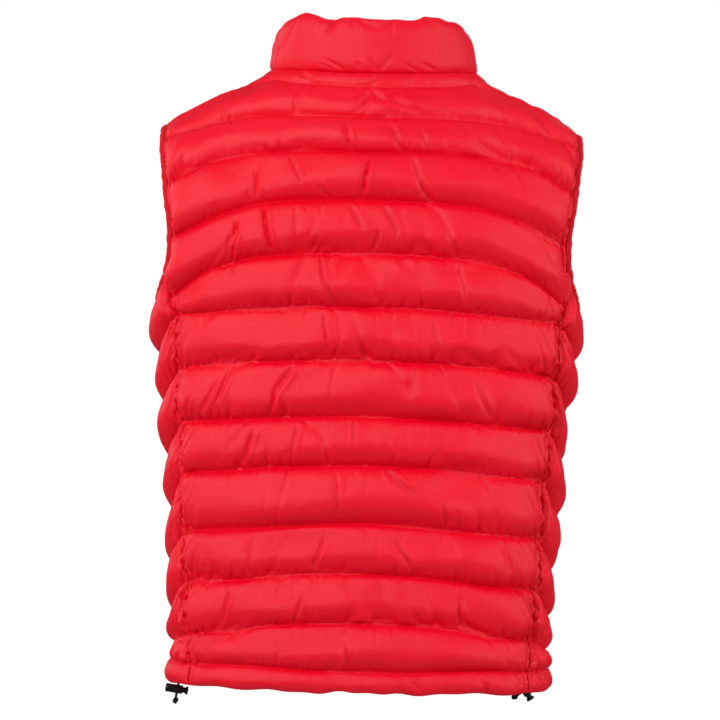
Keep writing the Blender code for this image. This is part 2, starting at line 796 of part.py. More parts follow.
def rounded_box(name, size, place, bevel, keep=True):
    """A box with rounded edges, from its full size and its middle, in millimetres."""
    bpy.ops.mesh.primitive_cube_add(size=1)
    box = bpy.context.object
    box.name = name
    box.data.transform(Matrix.Translation(Vector(place) * MM) @ Matrix.Diagonal((*(Vector(size) * MM), 1)))
    if bevel:
        rounding = box.modifiers.new("rounding", "BEVEL")
        rounding.width = bevel * MM
        rounding.segments = 2
    for collection in list(box.users_collection):
        collection.objects.unlink(box)
    (vest if keep else cutters).objects.link(box)
    if not keep:
        box.hide_render = True
        box.display_type = "WIRE"
    return box


def cylinder(name, diameter, ends, axis, keep=True, sides=24):
    """A cylinder between two places on a local axis, in millimetres."""
    low, high = ends
    bpy.ops.mesh.primitive_cylinder_add(vertices=sides, radius=diameter / 2 * MM, depth=(high - low) * MM)
    made = bpy.context.object
    made.name = name
    turned = {"X": Matrix.Rotation(math.radians(90), 4, "Y"), "Y": Matrix.Rotation(math.radians(90), 4, "X")}
    made.data.transform(Matrix.Translation((0, 0, (low + high) / 2 * MM)))
    made.data.transform(turned.get(axis, Matrix.Identity(4)))
    for collection in list(made.users_collection):
        collection.objects.unlink(made)
    (vest if keep else cutters).objects.link(made)
    if not keep:
        made.hide_render = True
        made.display_type = "WIRE"
    return made


def boolean(target, other, operation):
    step = target.modifiers.new(operation.lower(), "BOOLEAN")
    step.operation = operation
    step.object = other


def hold(name, place, turn):
    """An empty that places the pieces parented to it."""
    empty = bpy.data.objects.new(name, None)
    empty.location = Vector(place) * MM
    empty.rotation_euler = turn
    vest.objects.link(empty)
    return empty


top_edge = zip_path()[-1](0.0)[0]
low_edge = zip_path()[-3](0.0)[0]
zip_up = unit(top_edge - low_edge)
zip_lean = math.atan2(zip_up[1], zip_up[2])
zip_middle = top_edge - zip_up * SLIDER_DOWN
zip_middle += np.array([0.0, math.cos(zip_lean), -math.sin(zip_lean)]) * (TAPE_GAP + TAPE_THICK / 2)
slider_place = hold("zip_slider_place", zip_middle, (-zip_lean, 0, 0))

plate_y = SLIDER_MOUTH / 2 + SLIDER_PLATE[1] / 2
PULL_AXIS = (0.0, -(SLIDER_MOUTH / 2 + SLIDER_PLATE[1] + 1.35), 1.0)
slider = rounded_box("zip_slider", SLIDER_PLATE, (0, -plate_y, 0), 0.5)
slider_pieces = (
    rounded_box("slider_back_plate", SLIDER_PLATE, (0, plate_y, 0), 0.5, False),
    rounded_box("slider_post", (3.0, SLIDER_MOUTH + 1.0, 3.0), (0, 0, 3.6), 0, False),
    rounded_box("slider_bridge_top", (2.4, 3.2, 1.2), (0, PULL_AXIS[1] + 0.35, PULL_AXIS[2] + 2.0), 0, False),
    rounded_box("slider_bridge_low", (2.4, 3.2, 1.2), (0, PULL_AXIS[1] + 0.35, PULL_AXIS[2] - 4.2), 0, False),
    rounded_box("slider_bridge", (2.4, 1.1, 7.4), (0, PULL_AXIS[1] - 1.55, PULL_AXIS[2] - 1.1), 0, False),
)
for extra in slider_pieces:
    boolean(slider, extra, "UNION")
slider.data.materials.append(black_metal)

pull_place = hold("zip_pull_place", (0, 0, 0), (0, 0, 0))
pull_place.parent = slider_place
pull_place.location = Vector(PULL_AXIS) * MM
pull = rounded_box(
    "zip_pull_tab", (PULL_WIDE, PULL_THICK, PULL_LONG), (0, 0, 0.7 - PULL_LONG / 2), 0.35
)
pull_window = rounded_box("pull_window", (PULL_WIDE - 2.6, 6, 6.0), (0, 0, -0.7 - 3.0), 0, False)
pull_hole = rounded_box("pull_hole", (3.0, 6, 5.0), (0, 0, -PULL_LONG + 6.0), 0, False)
for gap in (pull_window, pull_hole):
    boolean(pull, gap, "DIFFERENCE")
    gap.parent = pull_place
pull.data.materials.append(black_metal)
pull.parent = pull_place
for piece in (slider, *slider_pieces):
    piece.parent = slider_place

# ---------------------------------------------------------------- drawcords and cord locks


def smooth_route(points, spacing):
    """Even points on a smooth curve through the route's own points."""
    knots = np.array(points, float)
    padded = np.vstack([2 * knots[0] - knots[1], knots, 2 * knots[-1] - knots[-2]])
    fine = []
    for i in range(1, len(padded) - 2):
        a, b, c, d = padded[i - 1:i + 3]
        for t in np.linspace(0, 1, 12, endpoint=False):
            fine.append(0.5 * (2 * b + (c - a) * t + (2 * a - 5 * b + 4 * c - d) * t ** 2
                               + (3 * b - a - 3 * c + d) * t ** 3))
    fine = np.array(fine + [knots[-1]])
    travelled = np.concatenate([[0], np.cumsum(np.linalg.norm(np.diff(fine, axis=0), axis=1))])
    places = np.linspace(0, travelled[-1], round(travelled[-1] / spacing) + 1)
    return np.stack([np.interp(places, travelled, fine[:, k]) for k in range(3)], axis=1)


def cord(name, route):
    curve = bpy.data.curves.new(name, "CURVE")
    curve.dimensions = "3D"
    curve.bevel_depth = CORD_D / 2 * MM
    curve.bevel_resolution = 2
    curve.use_fill_caps = True
    points = smooth_route(route, CORD_D * 1.2)
    spline = curve.splines.new("POLY")
    spline.points.add(len(points) - 1)
    for spot, point in zip(spline.points, points):
        spot.co = (*(point * MM), 1)
    made = bpy.data.objects.new(name, curve)
    vest.objects.link(made)
    curve.materials.append(black_cord)
    return made


def knot(name, route):
    """Stopper knot: two soft lobes, turned about the cord's last stretch."""
    end = np.array(route[-1], float)
    along = unit(end - np.array(route[-2], float))
    profile = ((0.0, 0.0), (0.55, 0.05), (0.95, 0.45), (0.82, 0.95), (1.0, 1.5), (0.6, 2.0), (0.0, 2.1))
    mesh = bmesh.new()
    points = [mesh.verts.new((KNOT_R * r, 0, KNOT_R * h)) for r, h in profile]
    edges = [mesh.edges.new(pair) for pair in zip(points, points[1:])]
    bmesh.ops.spin(mesh, geom=points + edges, angle=math.radians(360), steps=12, axis=(0, 0, 1),
                   cent=(0, 0, 0), use_merge=True)
    bmesh.ops.remove_doubles(mesh, verts=mesh.verts, dist=0.001)
    turn = Vector((0, 0, 1)).rotation_difference(Vector(along)).to_matrix()
    bmesh.ops.rotate(mesh, cent=(0, 0, 0), matrix=turn, verts=mesh.verts)
    bmesh.ops.translate(mesh, vec=Vector(end + along * SEAM_GAP), verts=mesh.verts)
    return finish_mesh(name, mesh, black_cord, 60)


def cord_lock(side, place, axis, route):
    """Barrel and plunger along local X, both with a hole across them for the cord."""
    head_way = Vector(axis).normalized()
    route = np.array(route, float)
    near = int(np.argmin(np.linalg.norm(route - np.array(place), axis=1)))
    through_way = Vector(route[min(near + 1, len(route) - 1)] - route[near - 1])
    across = (through_way - head_way * through_way.dot(head_way)).normalized()
    frame = Matrix((head_way, across.cross(head_way), across)).transposed()
    empty = hold("cord_lock_place_" + side, place, frame.to_euler())
    barrel_from, barrel_to = 6.0 - LOCK_LONG, 6.0
    travel = PLUNGER_GAP - 0.3
    barrel = cylinder("cord_lock_" + side, LOCK_D, (barrel_from, barrel_to), "X")
    head_from = barrel_to + PLUNGER_GAP
    plunger = cylinder("cord_plunger_" + side, PLUNGER_D, (-6.0, head_from + 0.5), "X")
    head_ends = (head_from, head_from + PLUNGER_HEAD)
    head = cylinder("plunger_head_" + side, LOCK_D - 0.4, head_ends, "X", False)
    bore = cylinder("lock_bore_" + side, LOCK_BORE, (-6.0 - travel - 0.4, barrel_to + 5), "X", False)
    hole = cylinder("lock_hole_" + side, CROSS_HOLE, (-20, 20), "Z", False, 16)
    slot_size = (CROSS_HOLE + travel, CROSS_HOLE - 0.2, 20)
    slot = rounded_box("plunger_slot_" + side, slot_size, (travel / 2, 0, 0), 0, False)
    boolean(barrel, bore, "DIFFERENCE")
    boolean(barrel, hole, "DIFFERENCE")
    boolean(plunger, head, "UNION")
    boolean(plunger, slot, "DIFFERENCE")
    for piece in (barrel, plunger, head, bore, hole, slot):
        piece.parent = empty
    for piece in (barrel, plunger):
        piece.data.materials.append(black_plastic)
        piece.data.shade_smooth()
        piece.data.set_sharp_from_angle(angle=math.radians(40))


for side, route, (place, axis) in (("left", CORD_LEFT, LOCK_LEFT), ("right", CORD_RIGHT, LOCK_RIGHT)):
    cord("drawcord_" + side, route)
    knot("drawcord_knot_" + side, route)
    cord_lock(side, place, axis, route)
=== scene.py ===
"""The looks of a quilted puffer vest, filled out as it is worn, round the vest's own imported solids."""

import json
import math

import bmesh
import bpy
import numpy as np
from mathutils import Matrix, Vector


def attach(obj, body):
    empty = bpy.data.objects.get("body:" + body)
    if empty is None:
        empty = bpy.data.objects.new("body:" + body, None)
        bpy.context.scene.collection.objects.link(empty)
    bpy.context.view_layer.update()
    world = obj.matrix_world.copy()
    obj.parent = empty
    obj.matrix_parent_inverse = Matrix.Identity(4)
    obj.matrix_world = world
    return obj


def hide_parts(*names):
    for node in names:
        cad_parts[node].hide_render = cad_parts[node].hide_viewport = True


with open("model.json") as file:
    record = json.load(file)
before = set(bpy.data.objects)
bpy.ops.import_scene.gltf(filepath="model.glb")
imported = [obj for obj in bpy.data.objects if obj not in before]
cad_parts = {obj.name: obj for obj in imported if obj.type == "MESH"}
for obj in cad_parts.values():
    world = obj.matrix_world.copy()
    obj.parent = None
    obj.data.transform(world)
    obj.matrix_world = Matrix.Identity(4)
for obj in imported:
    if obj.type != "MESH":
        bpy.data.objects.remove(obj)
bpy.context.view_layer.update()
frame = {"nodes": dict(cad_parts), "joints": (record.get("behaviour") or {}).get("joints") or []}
nodes = frame["nodes"]

# ---------------------------------------------------------------- camera
# A long lens far behind the vest, level with its middle, turned a little so that the vest's right
# side looks lower. The picture is square.

CAMERA_AWAY = 3.4
FRAME_WIDTH = 0.792             # what the picture spans at the vest's middle
CAMERA_SIDE, CAMERA_HIGH = 0.0069, -0.3077
CAMERA_ROLL = math.radians(1.4)

camera_data = bpy.data.cameras.new("camera")
camera_data.sensor_width = 36.0
camera_data.lens = camera_data.sensor_width * CAMERA_AWAY / FRAME_WIDTH
camera = bpy.data.objects.new("camera", camera_data)
bpy.context.scene.collection.objects.link(camera)
camera.location = (CAMERA_SIDE, CAMERA_AWAY, CAMERA_HIGH)
camera.rotation_mode = "XYZ"
facing = Matrix.Rotation(math.pi, 4, "Z") @ Matrix.Rotation(math.pi / 2, 4, "X")
camera.rotation_euler = (facing @ Matrix.Rotation(CAMERA_ROLL, 4, "Z")).to_euler()
bpy.context.scene.camera = camera

# ---------------------------------------------------------------- quilted panels
# Back, fronts and side panels: two layers of thin red nylon with light fill between them, stitched
# through in rows. The stitching gathers the cloth, and the fill pushes it out between the rows.

MM = 0.001
WALL = 3.0
SEAM_GAP = 0.58
PUFF_SHARE = 0.23
PUFF_MOST = 13.0
SEAM_FADE = 24.0
CORNERS = 2.5
RIDGE_Y = -10.0
ROLL_BACK = 190.0
ROLL_FRONT = 235.0
ROLL_AT_TIP = 0.55
SHOULDER_TIP = 222.0
NECK_HALF = 109.5
NECK_DEPTH = 80.0
FRONT_NECK_DROP = 66.0
NECK_CORNER = 1.7               # past the neck seam's end, where the shoulder seam still meets it
ZIP_HALF = 6.5
SIDE_PANEL_WIDE = 150.0

SECTIONS = (
    # z,   half,  back, front
    (-668, 206.0, 106, 110),
    (-647, 203.5, 104, 112),
    (-590, 198.0, 102, 113),
    (-542, 199.0, 101, 114),
    (-477, 202.0, 101, 115),
    (-421, 205.5, 102, 116),
    (-358, 210.0, 105, 118),
    (-300, 218.0, 109, 120),
    (-255, 226.5, 112, 121),
    (-200, 236.0, 114, 119),
    (-120, 246.0, 113, 112),
    (70, 250.0, 104, 96),
)
RIDGE = (
    (0, 43), (60, 29), (95, 14), (110, 7), (125, -3), (140, -12), (170, -27), (195, -40), (222, -55),
    (250, -72),
)
BACK_EDGE = (
    # z,   x
    (-40, 222.0), (-56, 222.5), (-75, 222.5), (-98, 219.5), (-135, 215.0), (-173, 210.0), (-195, 210.0),
    (-223, 214.5), (-245, 210.5), (-265, 203.0), (-320, 197.5), (-378, 194.5), (-433, 190.5),
    (-496, 187.5), (-551, 184.0), (-607, 180.5), (-640, 179.0), (-668, 181.0),
)
FRONT_EDGE = (
    # z,   x
    (-40, 222.0), (-56, 222.0), (-75, 219.5), (-98, 212.5), (-135, 204.5), (-173, 201.5), (-207, 204.0),
    (-240, 211.0), (-262, 206.0), (-320, 199.5), (-378, 196.0), (-433, 192.0), (-496, 189.0),
    (-551, 186.0), (-607, 183.0), (-640, 181.5), (-668, 183.0),
)
BACK_CORNER_Z, FRONT_CORNER_Z, ARMHOLE_LOW_Z, HEM_Z = -223.0, -240.0, -251.0, -663.0
BACK_LINES = (
    # middle, quarter, half, three quarters, edge
    (-50, -49, -50, -58, -75),
    (-88, -87, -90, -99, -124),
    (-138, -139, -143, -157, -181),
    (-195, -196, -199, -212, -246),
    (-252, -252, -255, -259, -263),
    (-308, -309, -311, -315, -320),
    (-368, -369, -371, -375, -378),
    (-420, -421, -424, -429, -433),
    (-482, -484, -488, -492, -496),
    (-536, -537, -541, -547, -551),
    (-589, -590, -593, -601, -607),
    (-640, -640, -638, -637, -640),
)
FRONT_LINES = (
    # middle, quarter, half, three quarters, edge
    (-98, -97, -95, -93, -93),
    (-154, -153, -151, -150, -150),
    (-208, -207, -206, -206, -207),
    (-259, -259, -260, -261, -263),
    (-315, -316, -317, -319, -320),
    (-373, -374, -375, -377, -378),
    (-429, -429, -430, -432, -433),
    (-491, -492, -493, -495, -496),
    (-546, -547, -548, -550, -551),
    (-601, -602, -603, -606, -607),
    (-640, -640, -640, -640, -640),
)
FIRST_SIDE_LINE = 4
SIDE_DROPS = (58, 58, 55, 60, 55, 50, 20, 0)
YOKE_SHARE_BACK = ((0, 0.33), (60, 0.32), (110, 0.27), (150, 0.20), (222, 0.12))
YOKE_SHARE_FRONT = ((0, 0.46), (110, 0.50), (222, 0.46))
YOKE_FADE = (112.0, 165.0)
EVEN_AT_Z = -400.0              # the columns of points are evenly spaced round the vest at this height
FILL_WAVES = ((0.07, 0.043, 0.11, 0.0), (0.05, 0.071, -0.053, 1.3))     # high, over x, over z, start
SEAM_HIGH, SEAM_HIGH_FROM = 0.38, -250.0
SEAM_DIP, SEAM_DIP_WIDE = 0.3, 1.3
BAND_HALF, BAND_DIP, BAND_DIP_WIDE = 5.5, 0.42, 2.0     # the band that the turned-in edges stiffen
SEAM_PITS, PIT_DEEP, PIT_WIDE, PIT_NARROW = (11.7, 17.9, 27.1), 1.7, 2.2, 0.8
SEAM_LEAN = 1.8                 # how steeply the folds leave a side seam
SEAM_START = {1: 0.0, -1: 4.0}  # sets the back seams' folds apart from the front ones
LONG_GATHERS, LONG_NARROW, LONG_DEEP, LONG_REACH = (29.0, 43.0, 71.0), 0.7, 4.6, 26.0
SHORT_GATHERS, SHORT_HIGH, SHORT_REACH = (6.9, 9.7, 14.3), 0.85, 6.0
UNEVEN_GATHERS, GATHER_MEAN, GATHER_VARIES = (83.0, 131.0), 0.6, 0.4
SEAM_SWAY, SEAM_SWAY_REACH = 0.55, 8.0
ROUND_THE_SIDE = 1.3            # how much longer the way to a side seam is than it looks from behind
HEM_CALM = 0.35                 # how much of a side seam's folds is left in the narrow hem channel
HEM_CALM_FROM, HEM_CALM_TO = 628.0, 642.0       # how far down that begins and is reached


PILLOW_SKEW, PILLOW_SQUARE = 0.86, 2.3  # a filled channel's section: fullest a little below its middle
EVEN_PART, BUNCHED_PART = 0.45, 0.275   # of the rows' spacing: the rest brings them near the stitching
ARMHOLE_CURVE, SLANT_CURVE = 2.0, 1.7
SMALL_TURN, SMALL_RISE = 0.003, 0.2     # steps for measuring how a form runs at a point


def through(table, column=1):
    """A smooth function through one column of a table, with no overshoot between its rows."""
    rows = sorted(table)
    at = np.array([row[0] for row in rows], float)
    value = np.array([row[column] for row in rows], float)
    step = np.diff(at)
    slope = np.diff(value) / step
    lean = np.zeros(len(at))
    for i in range(1, len(at) - 1):
        if slope[i - 1] * slope[i] > 0:
            before, after = 2 * step[i] + step[i - 1], step[i] + 2 * step[i - 1]
            lean[i] = (before + after) / (before / slope[i - 1] + after / slope[i])
    lean[-1] = slope[-1]
    if at[0] != 0:
        lean[0] = slope[0]

    def smooth(where):
        where = np.asarray(where, float)
        i = np.clip(np.searchsorted(at, where) - 1, 0, len(step) - 1)
        t = np.clip((where - at[i]) / step[i], 0, 1)
        rise = value[i] * (1 + 2 * t) * (1 - t) ** 2 + value[i + 1] * t * t * (3 - 2 * t)
        return rise + step[i] * (lean[i] * t * (1 - t) ** 2 - lean[i + 1] * t * t * (1 - t))

    return smooth


half_width, depth_back, depth_front = (through(SECTIONS, column) for column in (1, 2, 3))
ridge_z = through(RIDGE)
back_edge, front_edge = through(BACK_EDGE), through(FRONT_EDGE)
yoke_back, yoke_front = through(YOKE_SHARE_BACK), through(YOKE_SHARE_FRONT)


def unit(vectors):
    return vectors / np.linalg.norm(vectors, axis=-1, keepdims=True)


def travelled(points):
    """How far along a line of points each one is."""
    return np.append(0, np.cumsum(np.linalg.norm(np.diff(points, axis=0), axis=1)))


def between(places, far, points):
    """The points of a line at given distances along it."""
    return np.stack([np.interp(places, far, points[:, k]) for k in range(3)], -1)


def ease(low, high, value):
    t = np.clip((value - low) / (high - low), 0, 1)
    return t * t * (3 - 2 * t)


def inner_form(turn, z):
    """Points inside the wall. turn is the angle from the wearer's left, +90 degrees at the back."""
    c, s = np.cos(turn), np.sin(turn)
    behind = s >= 0
    x = half_width(z) * np.sign(c) * np.abs(c) ** (2 / CORNERS)
    y = np.where(behind, depth_back(z), depth_front(z)) * np.sign(s) * np.abs(s) ** (2 / CORNERS)
    roll_high = np.where(behind, ROLL_BACK, ROLL_FRONT)
    roll_high = roll_high * (1 - (1 - ROLL_AT_TIP) * ease(NECK_HALF, SHOULDER_TIP, np.abs(x)))
    low = np.clip((ridge_z(np.abs(x)) - z) / roll_high, 0, 1)
    return np.stack([x, RIDGE_Y + (y - RIDGE_Y) * np.sqrt(1 - (1 - low) ** 2), z + 0 * x], axis=-1)


def outward(turn, z):
    """The directions that point out of the cloth there."""
    across = inner_form(turn + SMALL_TURN, z) - inner_form(turn - SMALL_TURN, z)
    up = inner_form(turn, z + SMALL_RISE) - inner_form(turn, z - SMALL_RISE)
    return unit(np.cross(across, up))


def turn_at(x, z, face):
    """The angle of the points at this width and height: face is 1 on the back and -1 on the front."""
    share = np.minimum(1.0, np.abs(x) / half_width(z)) ** (CORNERS / 2)
    return face * np.arccos(np.copysign(share, x))


def neckline_z(x, face):
    inward = 1 - (x / NECK_HALF) ** 2
    side = ridge_z(NECK_HALF)
    return side * (1 - inward) if face > 0 else side - (side + FRONT_NECK_DROP) * inward


def top_z(x, face):
    x = np.abs(x)
    return np.where(x < NECK_HALF, neckline_z(x, face), ridge_z(x))


def neck_point(x, face):
    z = neckline_z(np.abs(x), face)
    return inner_form(turn_at(x, z, face), z)


def away_from_neck(points):
    level = np.stack([points[..., 0] / NECK_HALF ** 2, (points[..., 1] - RIDGE_Y) / NECK_DEPTH ** 2,
                      0 * points[..., 0]], axis=-1)
    return unit(level)


def neck_direction(x, face):
    z = neckline_z(x, face)
    return unit(outward(turn_at(x, z, face), z) + away_from_neck(neck_point(x, face)))


def pillow(t):
    """Section of a filled channel from its upper line, 0, to its lower line, 1."""
    return np.maximum(0.0, 1 - np.abs(2 * t ** PILLOW_SKEW - 1) ** PILLOW_SQUARE)


def seam_fade(distance):
    near = 1 - np.clip(distance / SEAM_FADE, 0, 1)
    return np.sqrt(np.maximum(0.0, 1 - near * near))


def held_at_seam(distance, z):
    """How much of its fill the cloth keeps by a side seam: it dips only right at the stitching."""
    high = SEAM_HIGH * ease(BACK_CORNER_Z, SEAM_HIGH_FROM, z)
    dip = 1 - SEAM_DIP * np.exp(-(distance / SEAM_DIP_WIDE) ** 2)
    band = 1 - BAND_DIP * np.exp(-((distance - BAND_HALF) / BAND_DIP_WIDE) ** 2)
    return (high + (1 - high) * seam_fade(distance)) * dip * band


def crown_puff(height):
    return np.minimum(PUFF_MOST, PUFF_SHARE * height)


def fill_share(x, z):
    """The fill creeps, so that it is a little more here and a little less there."""
    share = 1
    for high, over_x, over_z, start in FILL_WAVES:
        share = share + high * np.sin(over_x * x + over_z * z + start)
    return share


def line_heights(lines, shares, face):
    """Heights of the top edge, the line under the collar, every stitched line and the hem."""
    top = top_z(shares * SHOULDER_TIP, face)
    stitched = [through(list(zip((0, 0.25, 0.5, 0.75, 1), line)))(shares) for line in lines]
    yoke = yoke_back if face > 0 else yoke_front
    under_collar = top + (stitched[0] - top) * yoke(shares * SHOULDER_TIP)
    return np.array([top, under_collar, *stitched, HEM_Z + 0 * shares])


class Quilting:
    """A panel as a grid of points: rows run down it and columns across."""

    def __init__(self, inner, directions, puff, crown, from_edge, t, height, free, seams=()):
        self.inner = inner                  # on the inside of the wall
        self.directions = directions        # out of the cloth
        self.puff = puff                    # how far the cloth stands out there
        self.crown = crown                  # how far it stands out at the crown above or below
        self.from_edge = from_edge
        self.t = t                          # the way down the channel, 0 to 1
        self.height = height                # of the channel
        self.free = free                    # 0 where it is stitched down
        self.seams = seams                  # for each side seam: distance, way over it, lean, start


def even_rows(first, counts):
    """Rows of points down a panel, as channel and share of its height, closer near the stitching."""
    channels, shares = [], []
    for channel, count in enumerate(counts, first):
        steps = np.arange(count) / count
        channels += [channel] * count
        shares += list(EVEN_PART * steps + BUNCHED_PART * (1 - np.cos(np.pi * steps)))
    return np.array(channels + channels[-1:]), np.array(shares + [1.0])


def quilted_grid(lines, face, shares, rows, edge, middle):
    """The quilting of a panel whose channels run level."""
    channel, t = rows
    heights = line_heights(lines, np.abs(shares), face)
    upper, lower = heights[channel + 2], heights[channel + 3]
    t = t[:, None] + 0 * upper
    z = upper + (lower - upper) * t
    in_top = (channel == -2)[:, None]
    border = np.where(in_top, SHOULDER_TIP, edge(z))
    x = np.copysign(middle + np.abs(shares) * (border - middle), shares)
    z = np.where(in_top, top_z(x, face) + (lower - top_z(x, face)) * t, z)
    turn = turn_at(x, z, face)
    points, directions = inner_form(turn, z), outward(turn, z)
    at_neck = np.abs(x[0]) <= NECK_HALF + 0.01
    points[0, at_neck] = neck_point(x[0, at_neck], face)
    by_neck = np.abs(x[0]) <= NECK_HALF + NECK_CORNER
    directions[0, by_neck] = neck_direction(np.clip(x[0, by_neck], -NECK_HALF, NECK_HALF), face)
    crown = crown_puff(upper - lower)
    puff = crown * pillow(t)
    if face > 0:
        yoke = yoke_back(np.abs(x))
        whole_t = np.where(in_top, yoke * t, yoke + (1 - yoke) * t)
        whole = crown_puff(heights[0] - heights[2])
        whole_share = np.where((channel < 0)[:, None], ease(*YOKE_FADE, np.abs(x)), 0)
        puff = puff + (whole * pillow(whole_t) - puff) * whole_share
        crown = crown + (whole - crown) * whole_share
    from_edge = from_seam = (1 - np.abs(shares)) * border * ROUND_THE_SIDE
    filled = held_at_seam(from_seam, z) * fill_share(x, z)
    if middle:
        from_edge = np.minimum(from_seam, np.abs(shares) * border)
        filled = filled * seam_fade(np.abs(shares) * border)
    stitched = np.where(((channel >= 0) & (rows[1] == 0))[:, None], 0.0, 1.0) + 0 * x
    under_collar = (channel == -1) & (rows[1] == 0)
    stitched[under_collar] = ease(*YOKE_FADE, np.abs(x[under_collar])) if face > 0 else 0.0
    seam = (from_seam, np.sign(shares) + 0 * x, SEAM_LEAN, SEAM_START[face] + (x < 0))
    puff, crown, high = puff * filled, crown * filled, upper - lower
    return Quilting(points, directions, puff, crown, from_edge, t, high, stitched, (seam,))


def armhole_low(shares):
    """Heights along the armhole's low edge, from the back seam, 0, to the front one, 1."""
    corner = np.where(shares < 0.5, BACK_CORNER_Z, FRONT_CORNER_Z)
    return ARMHOLE_LOW_Z + (corner - ARMHOLE_LOW_Z) * np.abs(2 * shares - 1) ** ARMHOLE_CURVE


def turn_on_side(z, shares):
    start, end = turn_at(back_edge(z), z, 1), turn_at(front_edge(z), z, -1)
    return start + (end - start) * shares


def side_grid(shares, counts, turned):
    """The same for a side panel on the wearer's left, from the back seam, 0, to the front one, 1."""
    edge_z = [line[-1] for line in BACK_LINES[FIRST_SIDE_LINE:]]
    heights = [armhole_low(shares)]
    for z, drop in zip(edge_z, SIDE_DROPS):
        heights.append(z - drop * (1 - (1 - shares) ** SLANT_CURVE))
    heights = np.array(heights + [HEM_Z + 0 * shares])
    channel, t = even_rows(0, counts)
    free = np.where((t == 0)[:, None], 0.0, 1.0) + 0 * shares
    upper, lower = heights[channel], heights[channel + 1]
    t = t[:, None] + 0 * upper
    z = upper + (lower - upper) * t
    turn = turn_on_side(z, shares)
    from_edge = np.minimum(shares, 1 - shares) * SIDE_PANEL_WIDE + 0 * z
    uneven = fill_share(half_width(z) + SIDE_PANEL_WIDE * shares, z)
    crown = crown_puff(upper - lower) * held_at_seam(from_edge, z) * uneven
    seams = (
        (SIDE_PANEL_WIDE * shares + 0 * z, 1, -SEAM_LEAN, SEAM_START[1] + turned),
        (SIDE_PANEL_WIDE * (1 - shares) + 0 * z, -1, -SEAM_LEAN, SEAM_START[-1] + turned),
    )
    puff, high = crown * pillow(t), upper - lower
    return Quilting(inner_form(turn, z), outward(turn, z), puff, crown, from_edge, t, high, free, seams)


def ripple(place, waves, start):
    """An uneven wave: the sum of a few whose lengths share no measure."""
    return sum(np.sin(2 * math.pi * place / long + start * (k + 1.3)) for k, long in enumerate(waves))


def seam_gathers(z, distance, lean, start):
    """Folds that a side seam draws into the cloth: short ones close to the stitching, and longer
    ones that lean away from it. They are the same on both sides of the seam at the seam itself."""
    leaning = z - lean * distance
    lines = np.exp(-(ripple(leaning, LONG_GATHERS, start) / LONG_NARROW) ** 2)
    uneven = GATHER_MEAN + GATHER_VARIES * ripple(leaning, UNEVEN_GATHERS, start + 1)
    long = lines * uneven * np.exp(-(distance / LONG_REACH) ** 2) * LONG_DEEP
    short = ripple(z - 0.5 * lean * distance, SHORT_GATHERS, start + 2) * np.exp(-distance / SHORT_REACH)
    pits = np.exp(-(ripple(z, SEAM_PITS, start + 3) / PIT_NARROW) ** 2) * np.exp(-(distance / PIT_WIDE) ** 2)
    calm = 1 - (1 - HEM_CALM) * ease(HEM_CALM_FROM, HEM_CALM_TO, -z)
    return (short * SHORT_HIGH - long - PIT_DEEP * pits) * ease(BACK_CORNER_Z, SEAM_HIGH_FROM, z) * calm


def even_shares(face, middle):
    """Columns from the middle to the edge, evenly spaced round the vest."""
    edge = back_edge if face > 0 else front_edge
    shares = np.linspace(0, 1, 400)
    x = middle + shares * (edge(EVEN_AT_Z) - middle)
    z = EVEN_AT_Z + 0 * x
    points = inner_form(turn_at(x, z, face), z)
    far = travelled(points)
    count = round(far[-1] / COLUMN)
    return np.interp(np.linspace(0, far[-1], count + 1), far, shares)


COLUMNS_MOVED = 4


def pull_in(grid, rows_moved, sides, gap=SEAM_GAP / 2):
    """Leaves half a seam's gap along the panel's edges: the points near them move in together."""
    points = grid.inner
    down = unit(points[rows_moved] - points[0])
    points[:rows_moved] += down * gap * (1 - np.arange(rows_moved) / rows_moved)[:, None, None]
    shares = (1 - np.arange(COLUMNS_MOVED) / COLUMNS_MOVED)[:, None]
    for side in sides:
        near = points[:, :COLUMNS_MOVED] if side == "first" else points[:, :-COLUMNS_MOVED - 1:-1]
        inward = unit(near[:, -1] - near[:, 0])[:, None]
        near += inward * gap * shares


# The cloth is let settle in code, because it needs points much closer together than a cloth
# modifier could settle in the time: it keeps its own lengths while the fill pushes it out.
GATHERED_ALONG_ROWS = 0.085
GATHERED_AT_SEAMS = 0.14
CROWN_SLACK, SLACK_REACH = 0.012, 0.14
SLACK_FROM, SLACK_FULL = 6.0, 24.0      # heights of a channel: a low one has no slack
SEAM_GATHER_REACH = 9.0
TALLER = 0.01                   # how much longer the cloth is than its wall, down the channels
STIFF_SHARE = 0.94
FIRM, FIRM_ASLANT, FIRM_STIFF = 1.0, 0.5, 0.3
FILL_PUSH = 0.012
ROUNDS = 110
LEAST_THICK = 1.1
MOST_PROUD = 1.0
KEPT_FOLDS = 0.9
FILL_SAG = 0.2                  # the fill sinks towards the lower line of its channel
GATHERS = (
    # apart, tall, high, reach, how narrow
    (4.5, 9.0, 0.5, 5.0, 1.1),
    (9.0, 24.0, 1.3, 14.0, 0.62),
    (22.0, 36.0, 1.7, 45.0, 0.32),
)
LEAN = 0.55                     # the folds run outwards on their way down
LEAN_FULL_AT = 120.0
SIDE_FOLD_LEAN = 0.35
SIDEWAYS_ROOM = 40
STRENGTH_PATCH, SWELL_PATCH = (26.0, 34.0), (24.0, 38.0)        # down and across
STRENGTH_MEAN, STRENGTH_VARIES, STRENGTH_RANGE = 0.75, 0.9, (0.1, 1.8)
FOLD_BANK = 0.35                # the cloth between two folds stands up by this share
SWELL = 0.8
CREASE_SHARP, CREASE_DEEP = 1.4, 1.15
CREASE_WANDER, CREASE_TURNS = 0.35, 3.1
CREASE_BANK, BANK_ASIDE, BANK_WIDE = 0.4, 2.0, 1.3
CREASE_END_SHARP, CREASE_END_FADE = 6, 0.9
SEAM_SOFT = 8.0                 # folds and creases fade out this near to a seam


